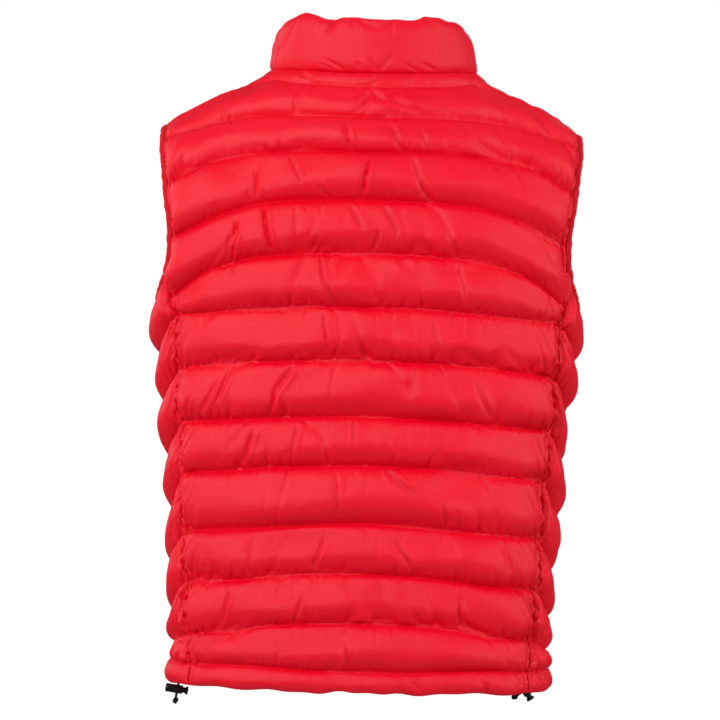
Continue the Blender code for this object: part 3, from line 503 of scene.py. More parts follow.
def soft_noise(rng, shape, across):
    """Smooth noise over a grid of points. across is its size in points each way."""
    knots = [int(n / s) + 5 for n, s in zip(shape, across)]
    field = rng.standard_normal(knots)
    for axis, (n, s) in enumerate(zip(shape, across)):
        place = np.arange(n) / s + 1
        i = place.astype(int)
        f = place - i
        w = ((1 - f) ** 3, 3 * f ** 3 - 6 * f ** 2 + 4, -3 * f ** 3 + 3 * f ** 2 + 3 * f + 1, f ** 3)
        line = [-1 if a == axis else 1 for a in range(2)]
        field = sum(np.take(field, i + k - 1, axis=axis) * w[k].reshape(line) for k in range(4)) / 4
    return field


def gathers(rng, grid, lean, spacing):
    """Small uneven folds across the channels: narrow and short by the stitching, longer ones
    further into the channel. They are stronger over the lower line, where the fill sags."""
    from_row = np.minimum(grid.t, 1 - grid.t) * grid.height
    rows, wide = grid.t.shape
    columns = SIDEWAYS_ROOM + np.arange(wide) - lean * (grid.t - 0.5) * grid.height / spacing[1]
    low = columns.astype(int)
    share, every_row = columns - low, np.arange(rows)[:, None]
    folds = np.zeros(grid.t.shape)
    patch = np.divide(STRENGTH_PATCH, spacing)
    for apart_by, tall, high, reach, narrow in GATHERS:
        noise = soft_noise(rng, (rows, wide + 2 * SIDEWAYS_ROOM), np.divide((tall, apart_by), spacing))
        noise = noise[every_row, low] * (1 - share) + noise[every_row, low + 1] * share
        uneven = soft_noise(rng, (rows, wide), patch)
        strength = np.clip(STRENGTH_MEAN + STRENGTH_VARIES * uneven, *STRENGTH_RANGE)
        strength = strength * (0.5 + 0.5 * grid.t) * high
        folds += strength * np.exp(-from_row / reach) * (FOLD_BANK - np.exp(-(noise / narrow) ** 2))
    return folds + SWELL * soft_noise(rng, (rows, wide), np.divide(SWELL_PATCH, spacing))


def fading_ends(place):
    """1 along a crease, from 0 to 1, and less and less past its ends."""
    return np.exp(-np.abs(2 * place - 1) ** CREASE_END_SHARP * CREASE_END_FADE)


def crease(points, creases):
    """Depth of the long creases at the points: each is a narrow trough with softer sides."""
    depth = np.zeros(points.shape[:2])
    x, z = points[..., 0], points[..., 2]
    for x1, z1, x2, z2, wide, deep in creases:
        along = np.array([x2 - x1, z2 - z1], float)
        long = np.hypot(*along)
        along /= long
        place = ((x - x1) * along[0] + (z - z1) * along[1]) / long
        aside = ((x - x1) * along[1] - (z - z1) * along[0]) / wide
        aside = aside + CREASE_WANDER * np.sin(CREASE_TURNS * place + x1)
        bank = CREASE_BANK * np.exp(-((aside - BANK_ASIDE) / BANK_WIDE) ** 2)
        valley = np.exp(-np.abs(aside) ** CREASE_SHARP) - bank
        depth += CREASE_DEEP * deep * fading_ends(place) * valley
    return depth


def apart(grid, rows, columns):
    """The points of a grid, and those so many rows and columns further on."""
    high, wide = grid.shape[:2]
    first = grid[:high - rows, max(0, -columns):wide - max(0, columns)]
    return first, grid[rows:, max(0, columns):wide + min(0, columns)]


def lengths(points, rows, columns):
    first, second = apart(points, rows, columns)
    return np.linalg.norm(second - first, axis=-1)


def face_normals(points):
    across = points[1:-1, 2:] - points[1:-1, :-2]
    return np.cross(across, points[2:, 1:-1] - points[:-2, 1:-1])


def settle(points, directions, free, rest, push, rounds):
    """Lets the cloth take its shape: it keeps its lengths, the fill pushes it out, and what is
    stitched down, where free is 0, stays. rest holds, for each step in rows and columns, the cloth's
    own lengths and how firmly it keeps them."""
    points, free = points.astype(np.float32), free.astype(np.float32)
    turned = np.sign((face_normals(points) * directions[1:-1, 1:-1]).sum())
    for _ in range(rounds):
        normals = face_normals(points)
        size = np.maximum(np.linalg.norm(normals, axis=-1, keepdims=True), 1e-6)
        points[1:-1, 1:-1] += normals / size * (turned * push * free[1:-1, 1:-1, None])
        for (rows, columns), (length, firm) in rest.items():
            reach = max(rows, abs(columns))
            for start in range(2 * reach):
                part = slice(start, None, 2 * reach)
                pick = part if rows else (slice(None), part)
                first, second = (side[pick] for side in apart(points, rows, columns))
                first_free, second_free = (side[pick] for side in apart(free, rows, columns))
                gap = second - first
                now = np.sqrt((gap * gap).sum(-1))
                share = firm * (now - length[pick]) / np.maximum(now * (first_free + second_free), 1e-6)
                if reach == 2:
                    share = np.minimum(share, 0)
                gap *= share[..., None]
                first += gap * first_free[..., None]
                second -= gap * second_free[..., None]
    return points.astype(float)


def cloth_lengths(grid, seeded, plain):
    """How long the cloth itself is between the points: as wide everywhere as over the crown of its
    channel, with slack near the stitching, and gathered down the side seams."""
    over_crown = lengths(grid.inner + grid.directions * (WALL + grid.crown)[..., None], 0, 1)
    from_row = np.minimum(grid.t, 1 - grid.t)[:, :-1]
    slack = CROWN_SLACK + (GATHERED_ALONG_ROWS - CROWN_SLACK) * np.exp(-from_row / SLACK_REACH)
    slack = slack * ease(SLACK_FROM, SLACK_FULL, grid.height)[:, :-1]
    across = over_crown * (1 + slack) + lengths(seeded, 0, 1) - lengths(plain, 0, 1)
    gathered = TALLER + GATHERED_AT_SEAMS * np.exp(-grid.from_edge[:-1] / SEAM_GATHER_REACH)
    down = lengths(plain, 1, 0) * (1 + gathered)
    wider = across ** 2 - lengths(plain, 0, 1) ** 2
    taller = down ** 2 - lengths(plain, 1, 0) ** 2
    rest = {(0, 1): (across, FIRM), (1, 0): (down, FIRM)}
    for step in (1, -1):
        corner = lengths(plain, 1, step) ** 2 + wider[:-1] + taller[:, :-1]
        rest[1, step] = (np.sqrt(np.maximum(corner, 0.01)), FIRM_ASLANT)
    for rows, columns, own in ((0, 2, across), (2, 0, down)):
        pair = own[:, :-1] + own[:, 1:] if columns else own[:-1] + own[1:]
        rest[rows, columns] = (pair * STIFF_SHARE, FIRM_STIFF)
    return rest


def shell_cloth(grid, creases, lean, seed, spacing):
    """The panel's outer cloth: puffed, settled while it gathers at the stitching, then creased."""
    rng = np.random.default_rng(seed)
    sagged = grid.puff * (1 - FILL_SAG * np.sin(2 * np.pi * grid.t))
    plain = grid.inner + grid.directions * (WALL + sagged)[..., None]
    into_seam = np.minimum(1, pillow(grid.t) * 3) * np.clip(grid.from_edge / SEAM_SOFT, 0, 1)
    folds = gathers(rng, grid, lean, spacing) * into_seam
    long_creases = crease(plain, creases) * into_seam
    free = grid.free.copy()
    free[[0, -1]] = 0
    free[:, [0, -1]] = 0
    seeded = plain + grid.directions * (folds * free)[..., None]
    cloth = seeded
    rest = cloth_lengths(grid, seeded, plain)
    cloth = settle(seeded, grid.directions, free, rest, FILL_PUSH, ROUNDS)
    proud = ((cloth - plain) * grid.directions).sum(-1) - folds
    cloth = cloth - grid.directions * np.maximum(0, proud - MOST_PROUD)[..., None]
    kept = (KEPT_FOLDS * folds - long_creases) * free
    held_down = np.minimum(1, 0.3 + 3 * pillow(grid.t))
    along = unit(np.gradient(grid.inner, axis=1))
    for distance, way, lean_there, start in grid.seams:
        kept = kept + seam_gathers(plain[..., 2], distance, lean_there, start) * held_down
        sway = ripple(plain[..., 2], SHORT_GATHERS[1:], start) * np.exp(-distance / SEAM_SWAY_REACH)
        sway = sway * SEAM_SWAY * ease(BACK_CORNER_Z, SEAM_HIGH_FROM, plain[..., 2])
        cloth = cloth + along * (way * sway)[..., None]
    cloth = cloth + grid.directions * kept[..., None]
    thick = ((cloth - grid.inner) * grid.directions).sum(-1)
    return cloth + grid.directions * (np.maximum(0, LEAST_THICK - thick) * free)[..., None]


def link(piece):
    bpy.context.scene.collection.objects.link(piece)
    return piece


def made_mesh(name, points, faces, flat_map=None, sharp=None):
    """A new piece from points in millimetres and faces, with its cloth laid flat as its UV map."""
    data = bpy.data.meshes.new(name)
    data.from_pydata((np.asarray(points) * MM).tolist(), [], faces)
    shape = bmesh.new()
    shape.from_mesh(data)
    bmesh.ops.recalc_face_normals(shape, faces=shape.faces)
    shape.to_mesh(data)
    shape.free()
    data.shade_smooth()
    if sharp:
        data.set_sharp_from_angle(angle=math.radians(sharp))
    if flat_map is not None:
        corners = np.zeros(len(data.loops), np.int32)
        data.loops.foreach_get("vertex_index", corners)
        layer = data.uv_layers.new(name="cloth")
        layer.data.foreach_set("uv", (np.asarray(flat_map)[corners] * MM).ravel())
    return link(bpy.data.objects.new(name, data))


CLOTH_SHARP = 70                # degrees from which an edge of the cloth looks sharp


def cells(grid):
    """Four-sided faces of a grid of point numbers."""
    return np.stack([grid[:-1, :-1], grid[1:, :-1], grid[1:, 1:], grid[:-1, 1:]], -1).reshape(-1, 4).tolist()


def fan(fine, picks, coarse):
    """Faces between a fine edge and a coarse one, whose points stand at some of the fine ones."""
    faces = []
    for k in range(len(picks) - 1):
        middle = (picks[k] + picks[k + 1]) // 2
        for i in range(picks[k], picks[k + 1]):
            faces.append((fine[i], fine[i + 1], coarse[k] if i < middle else coarse[k + 1]))
        faces.append((fine[middle], coarse[k + 1], coarse[k]))
    return faces


def picked(count, step):
    """Every so many rows or columns, with the first and the last."""
    return list(range(0, count - step, step)) + [count - 1]


def padded_piece(name, outer, lining, row_step, column_step):
    """A closed shell: the fine outer cloth, the coarser lining, and the edge between them."""
    rows, columns = outer.shape[:2]
    row_picks, column_picks = picked(rows, row_step), picked(columns, column_step)
    lining = lining[np.ix_(row_picks, column_picks)]
    out = np.arange(rows * columns).reshape(rows, columns)
    core = out.size + np.arange(lining[..., 0].size).reshape(lining.shape[:2])
    faces = cells(out) + cells(core[:, ::-1])
    for i in (0, -1):
        faces += fan(out[i].tolist(), column_picks, core[i].tolist())
        faces += fan(out[:, i].tolist(), row_picks, core[:, i].tolist())
    middle_row, middle_column = outer[rows // 2], outer[:, columns // 2]
    along, down = travelled(middle_row), travelled(middle_column)
    flat = np.stack(np.broadcast_arrays(along[None, :], -down[:, None]), -1)
    flat_map = np.concatenate([flat.reshape(-1, 2), flat[np.ix_(row_picks, column_picks)].reshape(-1, 2)])
    points = np.concatenate([outer.reshape(-1, 3), lining.reshape(-1, 3)])
    return made_mesh(name, points, faces, flat_map, CLOTH_SHARP)


def dress(piece, finish, slot, body, *replaced):
    """Gives a piece its finish and says what it is in the frame."""
    piece.data.materials.clear()
    piece.data.materials.append(finish)
    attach(piece, body)
    if replaced:
        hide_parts(*replaced)
    return piece


COLUMN = 1.5                    # between the points across the cloth
ROW = 2.3
LINING_PUFF = 2.2
LINING_STEPS = 4, 5             # the lining has every fourth row and every fifth column
MIRROR = np.array([-1.0, 1.0, 1.0])


class Level:
    """A number that changes over a surface, written as plain sums that add their Math nodes."""

    def __init__(self, finish, socket):
        self.finish, self.socket = finish, socket

    def _with(self, operation, *values):
        return self.finish.node("ShaderNodeMath", {"operation": operation}, *values)[0]

    def __add__(self, other):
        return self._with("ADD", self, other)

    def __sub__(self, other):
        return self._with("SUBTRACT", self, other)

    def __rsub__(self, other):
        return self._with("SUBTRACT", other, self)

    def __mul__(self, other):
        return self._with("MULTIPLY", self, other)

    __radd__, __rmul__ = __add__, __mul__

    def wave(self):
        return self._with("SINE", self)

    def size(self):
        return self._with("ABSOLUTE", self)


class Finish:
    """A material in the making. node adds any node and returns its outputs."""

    def __init__(self, name, **constants):
        self.material = bpy.data.materials.new(name)
        self.material.use_nodes = True
        self.tree = self.material.node_tree
        self.shader = self.tree.nodes["Principled BSDF"]
        for socket, value in constants.items():
            self.shader.inputs[socket.replace("_", " ")].default_value = value

    def node(self, kind, settings, *values, **named):
        made = self.tree.nodes.new(kind)
        for setting, value in settings.items():
            setattr(made, setting, value)
        chosen = list(enumerate(values)) + [(key.replace("_", " "), value) for key, value in named.items()]
        for key, value in chosen:
            self.feed(made.inputs[key], value)
        return [Level(self, socket) for socket in made.outputs if socket.enabled]

    def feed(self, socket, value):
        if isinstance(value, Level):
            self.tree.links.new(value.socket, socket)
        else:
            socket.default_value = value

    def place(self, source="Object"):
        """Places on the piece, in metres, or on its cloth laid flat."""
        if source == "Object":
            made = self.tree.nodes.new("ShaderNodeTexCoord")
            return Level(self, made.outputs["Object"])
        return self.node("ShaderNodeUVMap", {"uv_map": source})[0]

    def noise(self, place, scale, detail=2.0):
        return self.node("ShaderNodeTexNoise", {}, Vector=place, Scale=scale, Detail=detail)[0]

    def shade(self, **levels):
        for socket, level in levels.items():
            self.feed(self.shader.inputs[socket.replace("_", " ")], level)

    def blended(self, factor, first, second):
        """A colour between two, by a level from 0 to 1."""
        mix = self.tree.nodes.new("ShaderNodeMix")
        mix.data_type = "RGBA"
        colours = [socket for socket in mix.inputs if socket.type == "RGBA"]
        for socket, value in zip(colours, (first, second)):
            self.feed(socket, value if isinstance(value, Level) else (*value, 1.0))
        self.feed(mix.inputs[0], factor)
        return Level(self, next(socket for socket in mix.outputs if socket.type == "RGBA"))

    def bumps(self, *reliefs):
        """Relief from levels, each with its depth in metres."""
        normal = None
        for level, depth in reliefs:
            bump = self.tree.nodes.new("ShaderNodeBump")
            bump.inputs["Distance"].default_value = depth
            self.feed(bump.inputs["Height"], level)
            if normal:
                self.tree.links.new(normal, bump.inputs["Normal"])
            normal = bump.outputs["Normal"]
        self.tree.links.new(normal, self.shader.inputs["Normal"])


THREAD = 0.00045                # between the threads of the nylon
RED, RED_DEEP, RED_BRIGHT = (0.86, 0.0, 0.021), (0.83, 0.0, 0.019), (0.90, 0.0, 0.023)


def red_nylon():
    """Fine plain-woven nylon: warp and weft as small ribs, and a colour that varies very little."""
    finish = Finish("red_nylon", Roughness=0.5, Sheen_Weight=0.05, Sheen_Roughness=0.4,
                    Sheen_Tint=(1.0, 0.02, 0.05, 1.0), Specular_IOR_Level=0.42)
    flat = finish.place("cloth")
    x, y, _ = finish.node("ShaderNodeSeparateXYZ", {}, flat)
    turns = 2 * math.pi / THREAD
    warp, weft = (x * turns).wave(), (y * turns).wave()
    weave = warp * weft
    cloudy = finish.noise(finish.place(), 14.0, 3.0)
    shade = finish.blended(cloudy, RED_DEEP, RED_BRIGHT)
    finish.shade(Base_Color=finish.blended((weave + 1) * 0.5, shade, RED),
                 Roughness=cloudy * 0.12 + 0.31)
    crinkled = finish.noise(finish.place(), 160.0, 4.0)
    finish.bumps((crinkled, 0.0006), (weave, 0.00003))
    return finish.material


nylon = red_nylon()

BACK_CREASES = (
    # x1,  z1,   x2,   z2, wide, deep
    (113, -147, 104, -193, 2.2, 4.5),
    (1, -91, 9, -133, 2.3, 4.1),
    (162, -34, 160, -57, 1.8, 2.1),
    (152, -49, 151, -60, 1.7, 2.1),
    (86, -95, 73, -120, 1.8, 2.5),
    (124, -108, 120, -135, 2.2, 2.8),
    (20, -145, 8, -167, 2.0, 3.1),
    (-15, -146, -30, -173, 2.0, 3.1),
    (-10, -173, -2, -192, 2.3, 3.1),
    (55, -178, 62, -193, 2.0, 2.8),
    (52, -197, 48, -224, 1.8, 2.8),
    (48, -224, 35, -246, 1.8, 2.8),
    (142, -162, 147, -203, 2.4, 3.8),
    (149, -180, 154, -212, 2.0, 2.9),
    (79, 1, 60, -15, 2.4, 2.8),
    (5, -15, -5, -1, 2.2, 2.8),
    (17, -41, 7, -22, 2.2, 3.1),
    (1, -18, -14, -30, 2.2, 2.8),
    (-22, -28, -50, -40, 2.7, 3.1),
    (30, -55, 22, -84, 2.4, 3.4),
    (-20, -58, -34, -84, 2.4, 3.2),
    (-52, -60, -60, -84, 2.2, 2.5),
    (56, -124, 41, -135, 1.8, 2.1),
    (-44, -94, -60, -130, 2.2, 2.8),
    (145, -184, 146, -220, 2.2, 2.5),
    (45, -262, 43, -300, 1.8, 2.5),
    (79, -317, 97, -344, 2.2, 3.8),
    (97, -344, 102, -366, 2.2, 3.8),
    (145, -321, 159, -356, 2.3, 3.4),
    (159, -335, 176, -366, 2.3, 3.4),
    (119, -388, 128, -420, 2.3, 3.4),
    (12, -371, 10, -392, 1.8, 2.4),
    (70, -380, 78, -410, 2.0, 2.4),
    (-25, -425, -51, -448, 2.2, 3.4),
    (30, -430, 26, -468, 2.2, 2.5),
    (-35, -500, -52, -526, 2.2, 3.2),
    (40, -500, 52, -528, 2.2, 2.9),
    (-83, -458, -90, -476, 2.0, 2.5),
    (-124, -427, -137, -446, 2.2, 3.1),
    (-118, -330, -132, -364, 2.2, 2.8),
    (-95, -205, -106, -240, 2.2, 2.8),
    (-70, -268, -78, -298, 2.0, 2.5),
    (-106, -562, -109, -592, 2.0, 2.8),
    (62, -560, 70, -590, 2.0, 2.5),
    (14, -612, 10, -634, 2.0, 2.4),
    (-54, -648, -65, -656, 1.8, 2.1),
    (-150, -500, -160, -530, 2.2, 3.1),
    (140, -560, 150, -592, 2.2, 3.1),
)
FRONT_CREASES = (
    (60, -110, 52, -142, 2.2, 3.4),
    (150, -110, 158, -144, 2.2, 3.1),
    (34, -166, 46, -196, 2.2, 3.1),
    (120, -170, 128, -200, 2.2, 3.1),
    (82, -216, 74, -250, 2.0, 3.1),
    (166, -218, 178, -250, 2.3, 3.4),
    (48, -270, 56, -306, 2.0, 2.8),
    (132, -276, 144, -308, 2.2, 3.1),
    (28, -330, 36, -364, 2.0, 2.8),
    (104, -330, 118, -366, 2.3, 3.7),
    (162, -386, 174, -424, 2.2, 3.2),
    (64, -390, 58, -420, 2.0, 2.8),
    (116, -440, 126, -482, 2.2, 3.1),
    (30, -448, 40, -480, 2.0, 2.8),
    (76, -502, 90, -536, 2.2, 3.1),
    (150, -508, 160, -540, 2.2, 3.2),
    (40, -556, 34, -592, 2.0, 2.8),
    (120, -560, 130, -594, 2.2, 3.1),
    (86, -612, 92, -634, 2.0, 2.4),
)
RIGHT_FRONT_CREASES = (
    (48, -108, 56, -140, 2.2, 3.1),
    (128, -112, 120, -144, 2.2, 3.1),
    (88, -164, 98, -198, 2.3, 3.4),
    (160, -168, 170, -200, 2.0, 2.8),
    (40, -222, 34, -252, 2.0, 2.8),
    (120, -220, 134, -254, 2.2, 3.2),
    (84, -272, 78, -308, 2.0, 2.8),
    (160, -280, 172, -312, 2.2, 3.1),
    (60, -326, 72, -362, 2.2, 3.4),
    (140, -334, 150, -366, 2.0, 2.9),
    (36, -384, 46, -420, 2.0, 2.9),
    (110, -388, 122, -422, 2.2, 3.2),
    (76, -446, 70, -478, 2.0, 2.8),
    (158, -446, 170, -482, 2.3, 3.4),
    (44, -502, 54, -538, 2.2, 3.1),
    (112, -506, 122, -540, 2.0, 2.8),
    (84, -560, 96, -594, 2.2, 3.1),
    (152, -556, 160, -590, 2.2, 3.1),
    (40, -612, 46, -634, 2.0, 2.4),
)


def lining_points(grid):
    """The lining stands a little into the vest between the rows of stitching."""
    quilted = pillow(grid.t) * seam_fade(grid.from_edge)
    return grid.inner - grid.directions * (LINING_PUFF * quilted)[..., None]


HEM_WAVES, HEM_WAVE_HIGH, HEM_WAVE_FROM = (47.0, 83.0, 149.0), 0.75, -642.0
HEM_DEGREE = 3.0                # how long a degree round the hem is
CORD_PULLS = (
    # degrees round the hem, reach, how far the drawcord pulls the hem down there
    (-2.0, 3.4, 1.5), (7.0, 4.2, -1.8), (182.0, 6.0, 0.8), (172.0, 6.0, -0.6),
)


def uneven_hem(points):
    """The hem's lower edge hangs in small waves, and the drawcord pulls at it at both sides."""
    round_hem = np.degrees(np.arctan2(points[..., 1] - RIDGE_Y, points[..., 0]))
    round_hem = np.where(round_hem < -90, round_hem + 360, round_hem)
    wave = ripple(round_hem * HEM_DEGREE, HEM_WAVES, 0.9) * HEM_WAVE_HIGH
    for at, reach, down in CORD_PULLS:
        wave = wave - down * np.exp(-((round_hem - at) / reach) ** 2)
    low = ease(-HEM_WAVE_FROM, -HEM_Z, -points[..., 2])
    return points + np.array([0, 0, 1.0]) * (wave * low)[..., None]


def quilted_piece(name, grid, creases, lean, seed, turned=False):
    """One padded panel. Those of the wearer's right are made on the left and then mirrored."""
    cloth = shell_cloth(grid, creases, lean, seed, (ROW, COLUMN))
    lining = lining_points(grid)
    if turned:
        cloth, lining = cloth * MIRROR, lining * MIRROR
    cloth, lining = uneven_hem(cloth), uneven_hem(lining)
    piece = padded_piece(name + "_cloth", cloth, lining, *LINING_STEPS)
    dress(piece, nylon, "shell", "vest", name)
    return cloth


def outward_lean(grid):
    return LEAN * np.tanh(grid.inner[..., 0] / LEAN_FULL_AT)


# Rows of points in each channel, from the top down; the channel under the collar is counted -1.
BACK_ROWS = (11, 16, *(24,) * 11, 11)
FRONT_ROWS = (13, 16, *(24,) * 10, 11)
SIDE_ROWS = (16, *(24,) * 7, 11)
SIDE_ROWS_MOVED = 6
half_shares = even_shares(1, 0)
back_shares = np.concatenate([-half_shares[:0:-1], half_shares])
back_grid = quilted_grid(BACK_LINES, 1, back_shares, even_rows(-2, BACK_ROWS), back_edge, 0)
pull_in(back_grid, BACK_ROWS[0], ("first", "last"))
back_cloth = quilted_piece("back_panel", back_grid, BACK_CREASES, outward_lean(back_grid), 7)

front_shares = even_shares(-1, ZIP_HALF)
side_shares = np.linspace(0, 1, round(SIDE_PANEL_WIDE / COLUMN) + 1)
sewn = {"left": [], "right": []}        # each cloth with its grid, for the stitching
for side, turned, creases, seed in (
    ("left", False, FRONT_CREASES, 11), ("right", True, RIGHT_FRONT_CREASES, 23),
):
    grid = quilted_grid(FRONT_LINES, -1, front_shares, even_rows(-2, FRONT_ROWS), front_edge, ZIP_HALF)
    pull_in(grid, FRONT_ROWS[0], ("last",))
    cloth = quilted_piece("front_" + side, grid, creases, outward_lean(grid), seed, turned)
    sewn[side].append((cloth, grid))
    grid = side_grid(side_shares, SIDE_ROWS, turned)
    pull_in(grid, SIDE_ROWS_MOVED, ("first", "last"))
    cloth = quilted_piece("side_panel_" + side, grid, (), SIDE_FOLD_LEAN, seed + 1, turned)
    sewn[side].append((cloth, grid))

# ---------------------------------------------------------------- collar
# A stand collar: one smooth padded channel from the neck seam to a soft folded top edge, open at
# the centre front. Its cloth gathers a little into the neck seam.

COLLAR_TOP = ((-90, -7), (-60, 2), (-30, 21), (0, 44), (15, 53), (32, 61), (46, 64), (62, 61), (90, 58))
RIM_UNEVEN = (
    # degrees round the neck, how far that reaches, how high
    (42, 5.5, 2.2),
    (60, 6.0, -3.2),
    (66, 3.0, -1.8),
    (79, 4.0, 0.9),
    (97, 3.0, -0.8),
    (112, 8.0, -1.9),
    (122, 3.5, 2.2),
    (140, 6.0, -2.6),
    (200, 7.0, 1.2),
    (-35, 8.0, 1.3),
)
COLLAR_TOP_HALF = 100.0
COLLAR_TOP_BACK, COLLAR_TOP_FRONT = 70.0, 76.0
COLLAR_PUFF = 6.8
COLLAR_SQUARE = 4.5             # how square the filled collar is in section
COLLAR_LIP = 3.0
COLLAR_SLIM = 0.45
COLLAR_SKEW = 0.9               # moves its fullest part up a little
COLLAR_THIN = 0.3               # share of its fill at the zip
COLLAR_FOLDS, COLLAR_SEAM_FOLDS = 0.8, 0.15
COLLAR_LINING_SOFT = 25.0
COLLAR_ROWS, COLLAR_COLUMNS, COLLAR_ROWS_MOVED, RIM_ROWS = 40, 400, 8, 9
NECK_OPENING = math.acos(ZIP_HALF / NECK_HALF)
COLLAR_ROUND = 2.4              # the folded top edge rises above the wall by this much
COLLAR_CREASES = (
    # degrees and share of the height at each end; width in degrees, depth
    (75, 0.00, 63, 0.26, 1.5, 2.7),
    (69, 0.02, 59, 0.16, 1.1, 1.7),
    (92, 0.00, 88, 0.30, 1.4, 2.6),
    (93, 0.00, 99, 0.34, 1.5, 3.2),
    (84, 0.00, 81, 0.20, 1.2, 2.0),
    (117, 0.00, 105, 0.22, 1.4, 2.4),
    (129, 0.01, 117, 0.20, 1.5, 2.5),
    (48, 0.01, 40, 0.16, 1.2, 1.5),
    (65, 1.06, 63, 0.72, 1.1, 2.6),
    (100, 1.05, 100, 0.74, 0.8, 2.0),
    (78, 1.06, 77, 0.84, 0.9, 1.6),
    (110, 1.06, 113, 0.86, 0.9, 1.6),
    (133, 0.62, 139, 0.97, 1.3, 1.3),
    (20, 0.05, 24, 0.50, 1.4, 1.6),
    (160, 0.05, 156, 0.48, 1.4, 1.6),
    (-28, 0.04, -24, 0.52, 1.3, 1.5),
    (-58, 0.04, -53, 0.42, 1.2, 1.5),
    (208, 0.04, 203, 0.50, 1.3, 1.5),
    (236, 0.05, 232, 0.44, 1.2, 1.5),
)
collar_top = through(COLLAR_TOP)


def collar_stations(turn):
    """For angles round the neck, from the right of the zip behind to its left: seam points, mitre
    directions, level directions and top edge points."""
    x = NECK_HALF * np.cos(turn)
    behind = (np.sin(turn) >= 0)[:, None]
    base = np.where(behind, neck_point(x, 1), neck_point(x, -1))
    mitre = np.where(behind, neck_direction(x, 1), neck_direction(x, -1))
    degrees = np.degrees(turn)
    top = collar_top(np.where(degrees > 90, 180 - degrees, degrees))
    for at, reach, high in RIM_UNEVEN:
        top = top + high * np.exp(-((degrees - at) / reach) ** 2)
    depth = np.where(behind[:, 0], COLLAR_TOP_BACK, COLLAR_TOP_FRONT)
    rim = np.stack([COLLAR_TOP_HALF * np.cos(turn), RIDGE_Y + depth * np.sin(turn), top], -1)
    return base, mitre, away_from_neck(base), rim


def collar_grid():
    turn = np.linspace(-NECK_OPENING, math.pi + NECK_OPENING, COLLAR_COLUMNS)
    base, mitre, level, rim = collar_stations(turn)
    step = even_rows(0, (COLLAR_ROWS,))[1][:, None]
    points = base + (rim - base) * step[..., None]
    directions = unit(mitre + (level - mitre) * np.minimum(1.0, step * 3)[..., None])
    section = np.maximum(0, 1 - np.abs(2 * step ** COLLAR_SKEW - 1) ** COLLAR_SQUARE)
    swell = COLLAR_PUFF * section + COLLAR_LIP * step ** 2
    swell = swell * (1 - COLLAR_SLIM * np.cos(turn) ** 4)
    column = np.arange(COLLAR_COLUMNS)
    from_zip = np.minimum(column, column[::-1]) * COLUMN + 0 * step
    puff = swell * (COLLAR_THIN + (1 - COLLAR_THIN) * seam_fade(from_zip))
    height = np.linalg.norm(rim - base, axis=-1) + 0 * step
    t, free = step + 0 * from_zip, 1 + 0 * from_zip
    return Quilting(points, directions, puff, puff, from_zip, t, height, free), turn


collar, collar_turn = collar_grid()
pull_in(collar, COLLAR_ROWS_MOVED, (), SEAM_GAP)
rng = np.random.default_rng(41)
collar_folds = gathers(rng, collar, 0 * collar.t, (COLUMN, COLUMN))
round_collar = np.degrees(collar_turn)[None, :] + 0 * collar.t
for a1, s1, a2, s2, wide, deep in COLLAR_CREASES:
    place = (collar.t - s1) / (s2 - s1)
    aside = (round_collar - a1 - (a2 - a1) * place) / wide
    collar_folds -= deep * np.exp(-np.abs(aside) ** CREASE_SHARP) * fading_ends(place)
at_seam = np.minimum(1, collar.t * 9) * np.clip(collar.from_edge / SEAM_SOFT, COLLAR_SEAM_FOLDS, 1)
thick = WALL + collar.puff + collar_folds * at_seam * COLLAR_FOLDS
collar_outer = collar.inner + collar.directions * thick[..., None]
over = np.linspace(0, np.pi, RIM_ROWS)[1:-1, None, None]
rim_out, rim_in = collar_outer[-1], collar.inner[-1]
fold_over = (rim_out + rim_in) / 2 + (rim_out - rim_in) / 2 * np.cos(over)
fold_over = fold_over + [0, 0, 1] * (COLLAR_ROUND * np.sin(over))
collar_outer = np.concatenate([collar_outer, fold_over])
lining_fill = np.sin(np.pi * collar.t) * np.clip(collar.from_edge / COLLAR_LINING_SOFT, 0, 1)
collar_lining = collar.inner - collar.directions * (LINING_PUFF * lining_fill)[..., None]
row_at = np.linspace(0, len(collar_lining) - 1, len(collar_outer))
row_low = np.minimum(row_at.astype(int), len(collar_lining) - 2)
row_share = (row_at - row_low)[:, None, None]
collar_lining = collar_lining[row_low] * (1 - row_share) + collar_lining[row_low + 1] * row_share
collar_piece = padded_piece("collar_cloth", collar_outer, collar_lining, 4, 4)      # rows, columns
dress(collar_piece, nylon, "shell", "vest", "collar")

# ---------------------------------------------------------------- stitching
# Every channel is closed by a row of lockstitch in red thread: small raised stitches, one after
# the other, sunk a little into the cloth.

STITCH_PITCH, STITCH_LONG, STITCH_R = 3.0, 2.3, 0.27
STITCH_RINGS = (
    # place along the stitch, how thick, how far off the cloth
    (-0.5, 0.35, -0.35), (-0.28, 1.0, 0.1), (0.28, 1.0, 0.1), (0.5, 0.35, -0.35),
)
STITCH_SIDES = 5
SEWN_BELOW = 0.4                # a row is sewn where the cloth is less free than this
SHORTEST_RUN = 6                # points


def stitch_row(points, outward_at):
    """Middles, directions and ways out of the stitches along a line of points."""
    far = travelled(points)
    at = np.arange(STITCH_PITCH, far[-1] - STITCH_PITCH / 2, STITCH_PITCH)
    along = between(at + STITCH_LONG / 2, far, points) - between(at - STITCH_LONG / 2, far, points)
    return np.stack([between(at, far, points), along, unit(between(at, far, outward_at)) * STITCH_R], 1)


def drawn_out(rings, sides):
    """Faces of a closed shape that is drawn out from ring to ring."""
    faces = []
    for start in range(0, (rings - 1) * sides, sides):
        for k in range(sides):
            following = (k + 1) % sides
            faces.append((start + k, start + following, start + sides + following, start + sides + k))
    last = rings * sides - 1
    return [*faces, tuple(range(sides)), tuple(range(last, last - sides, -1))]


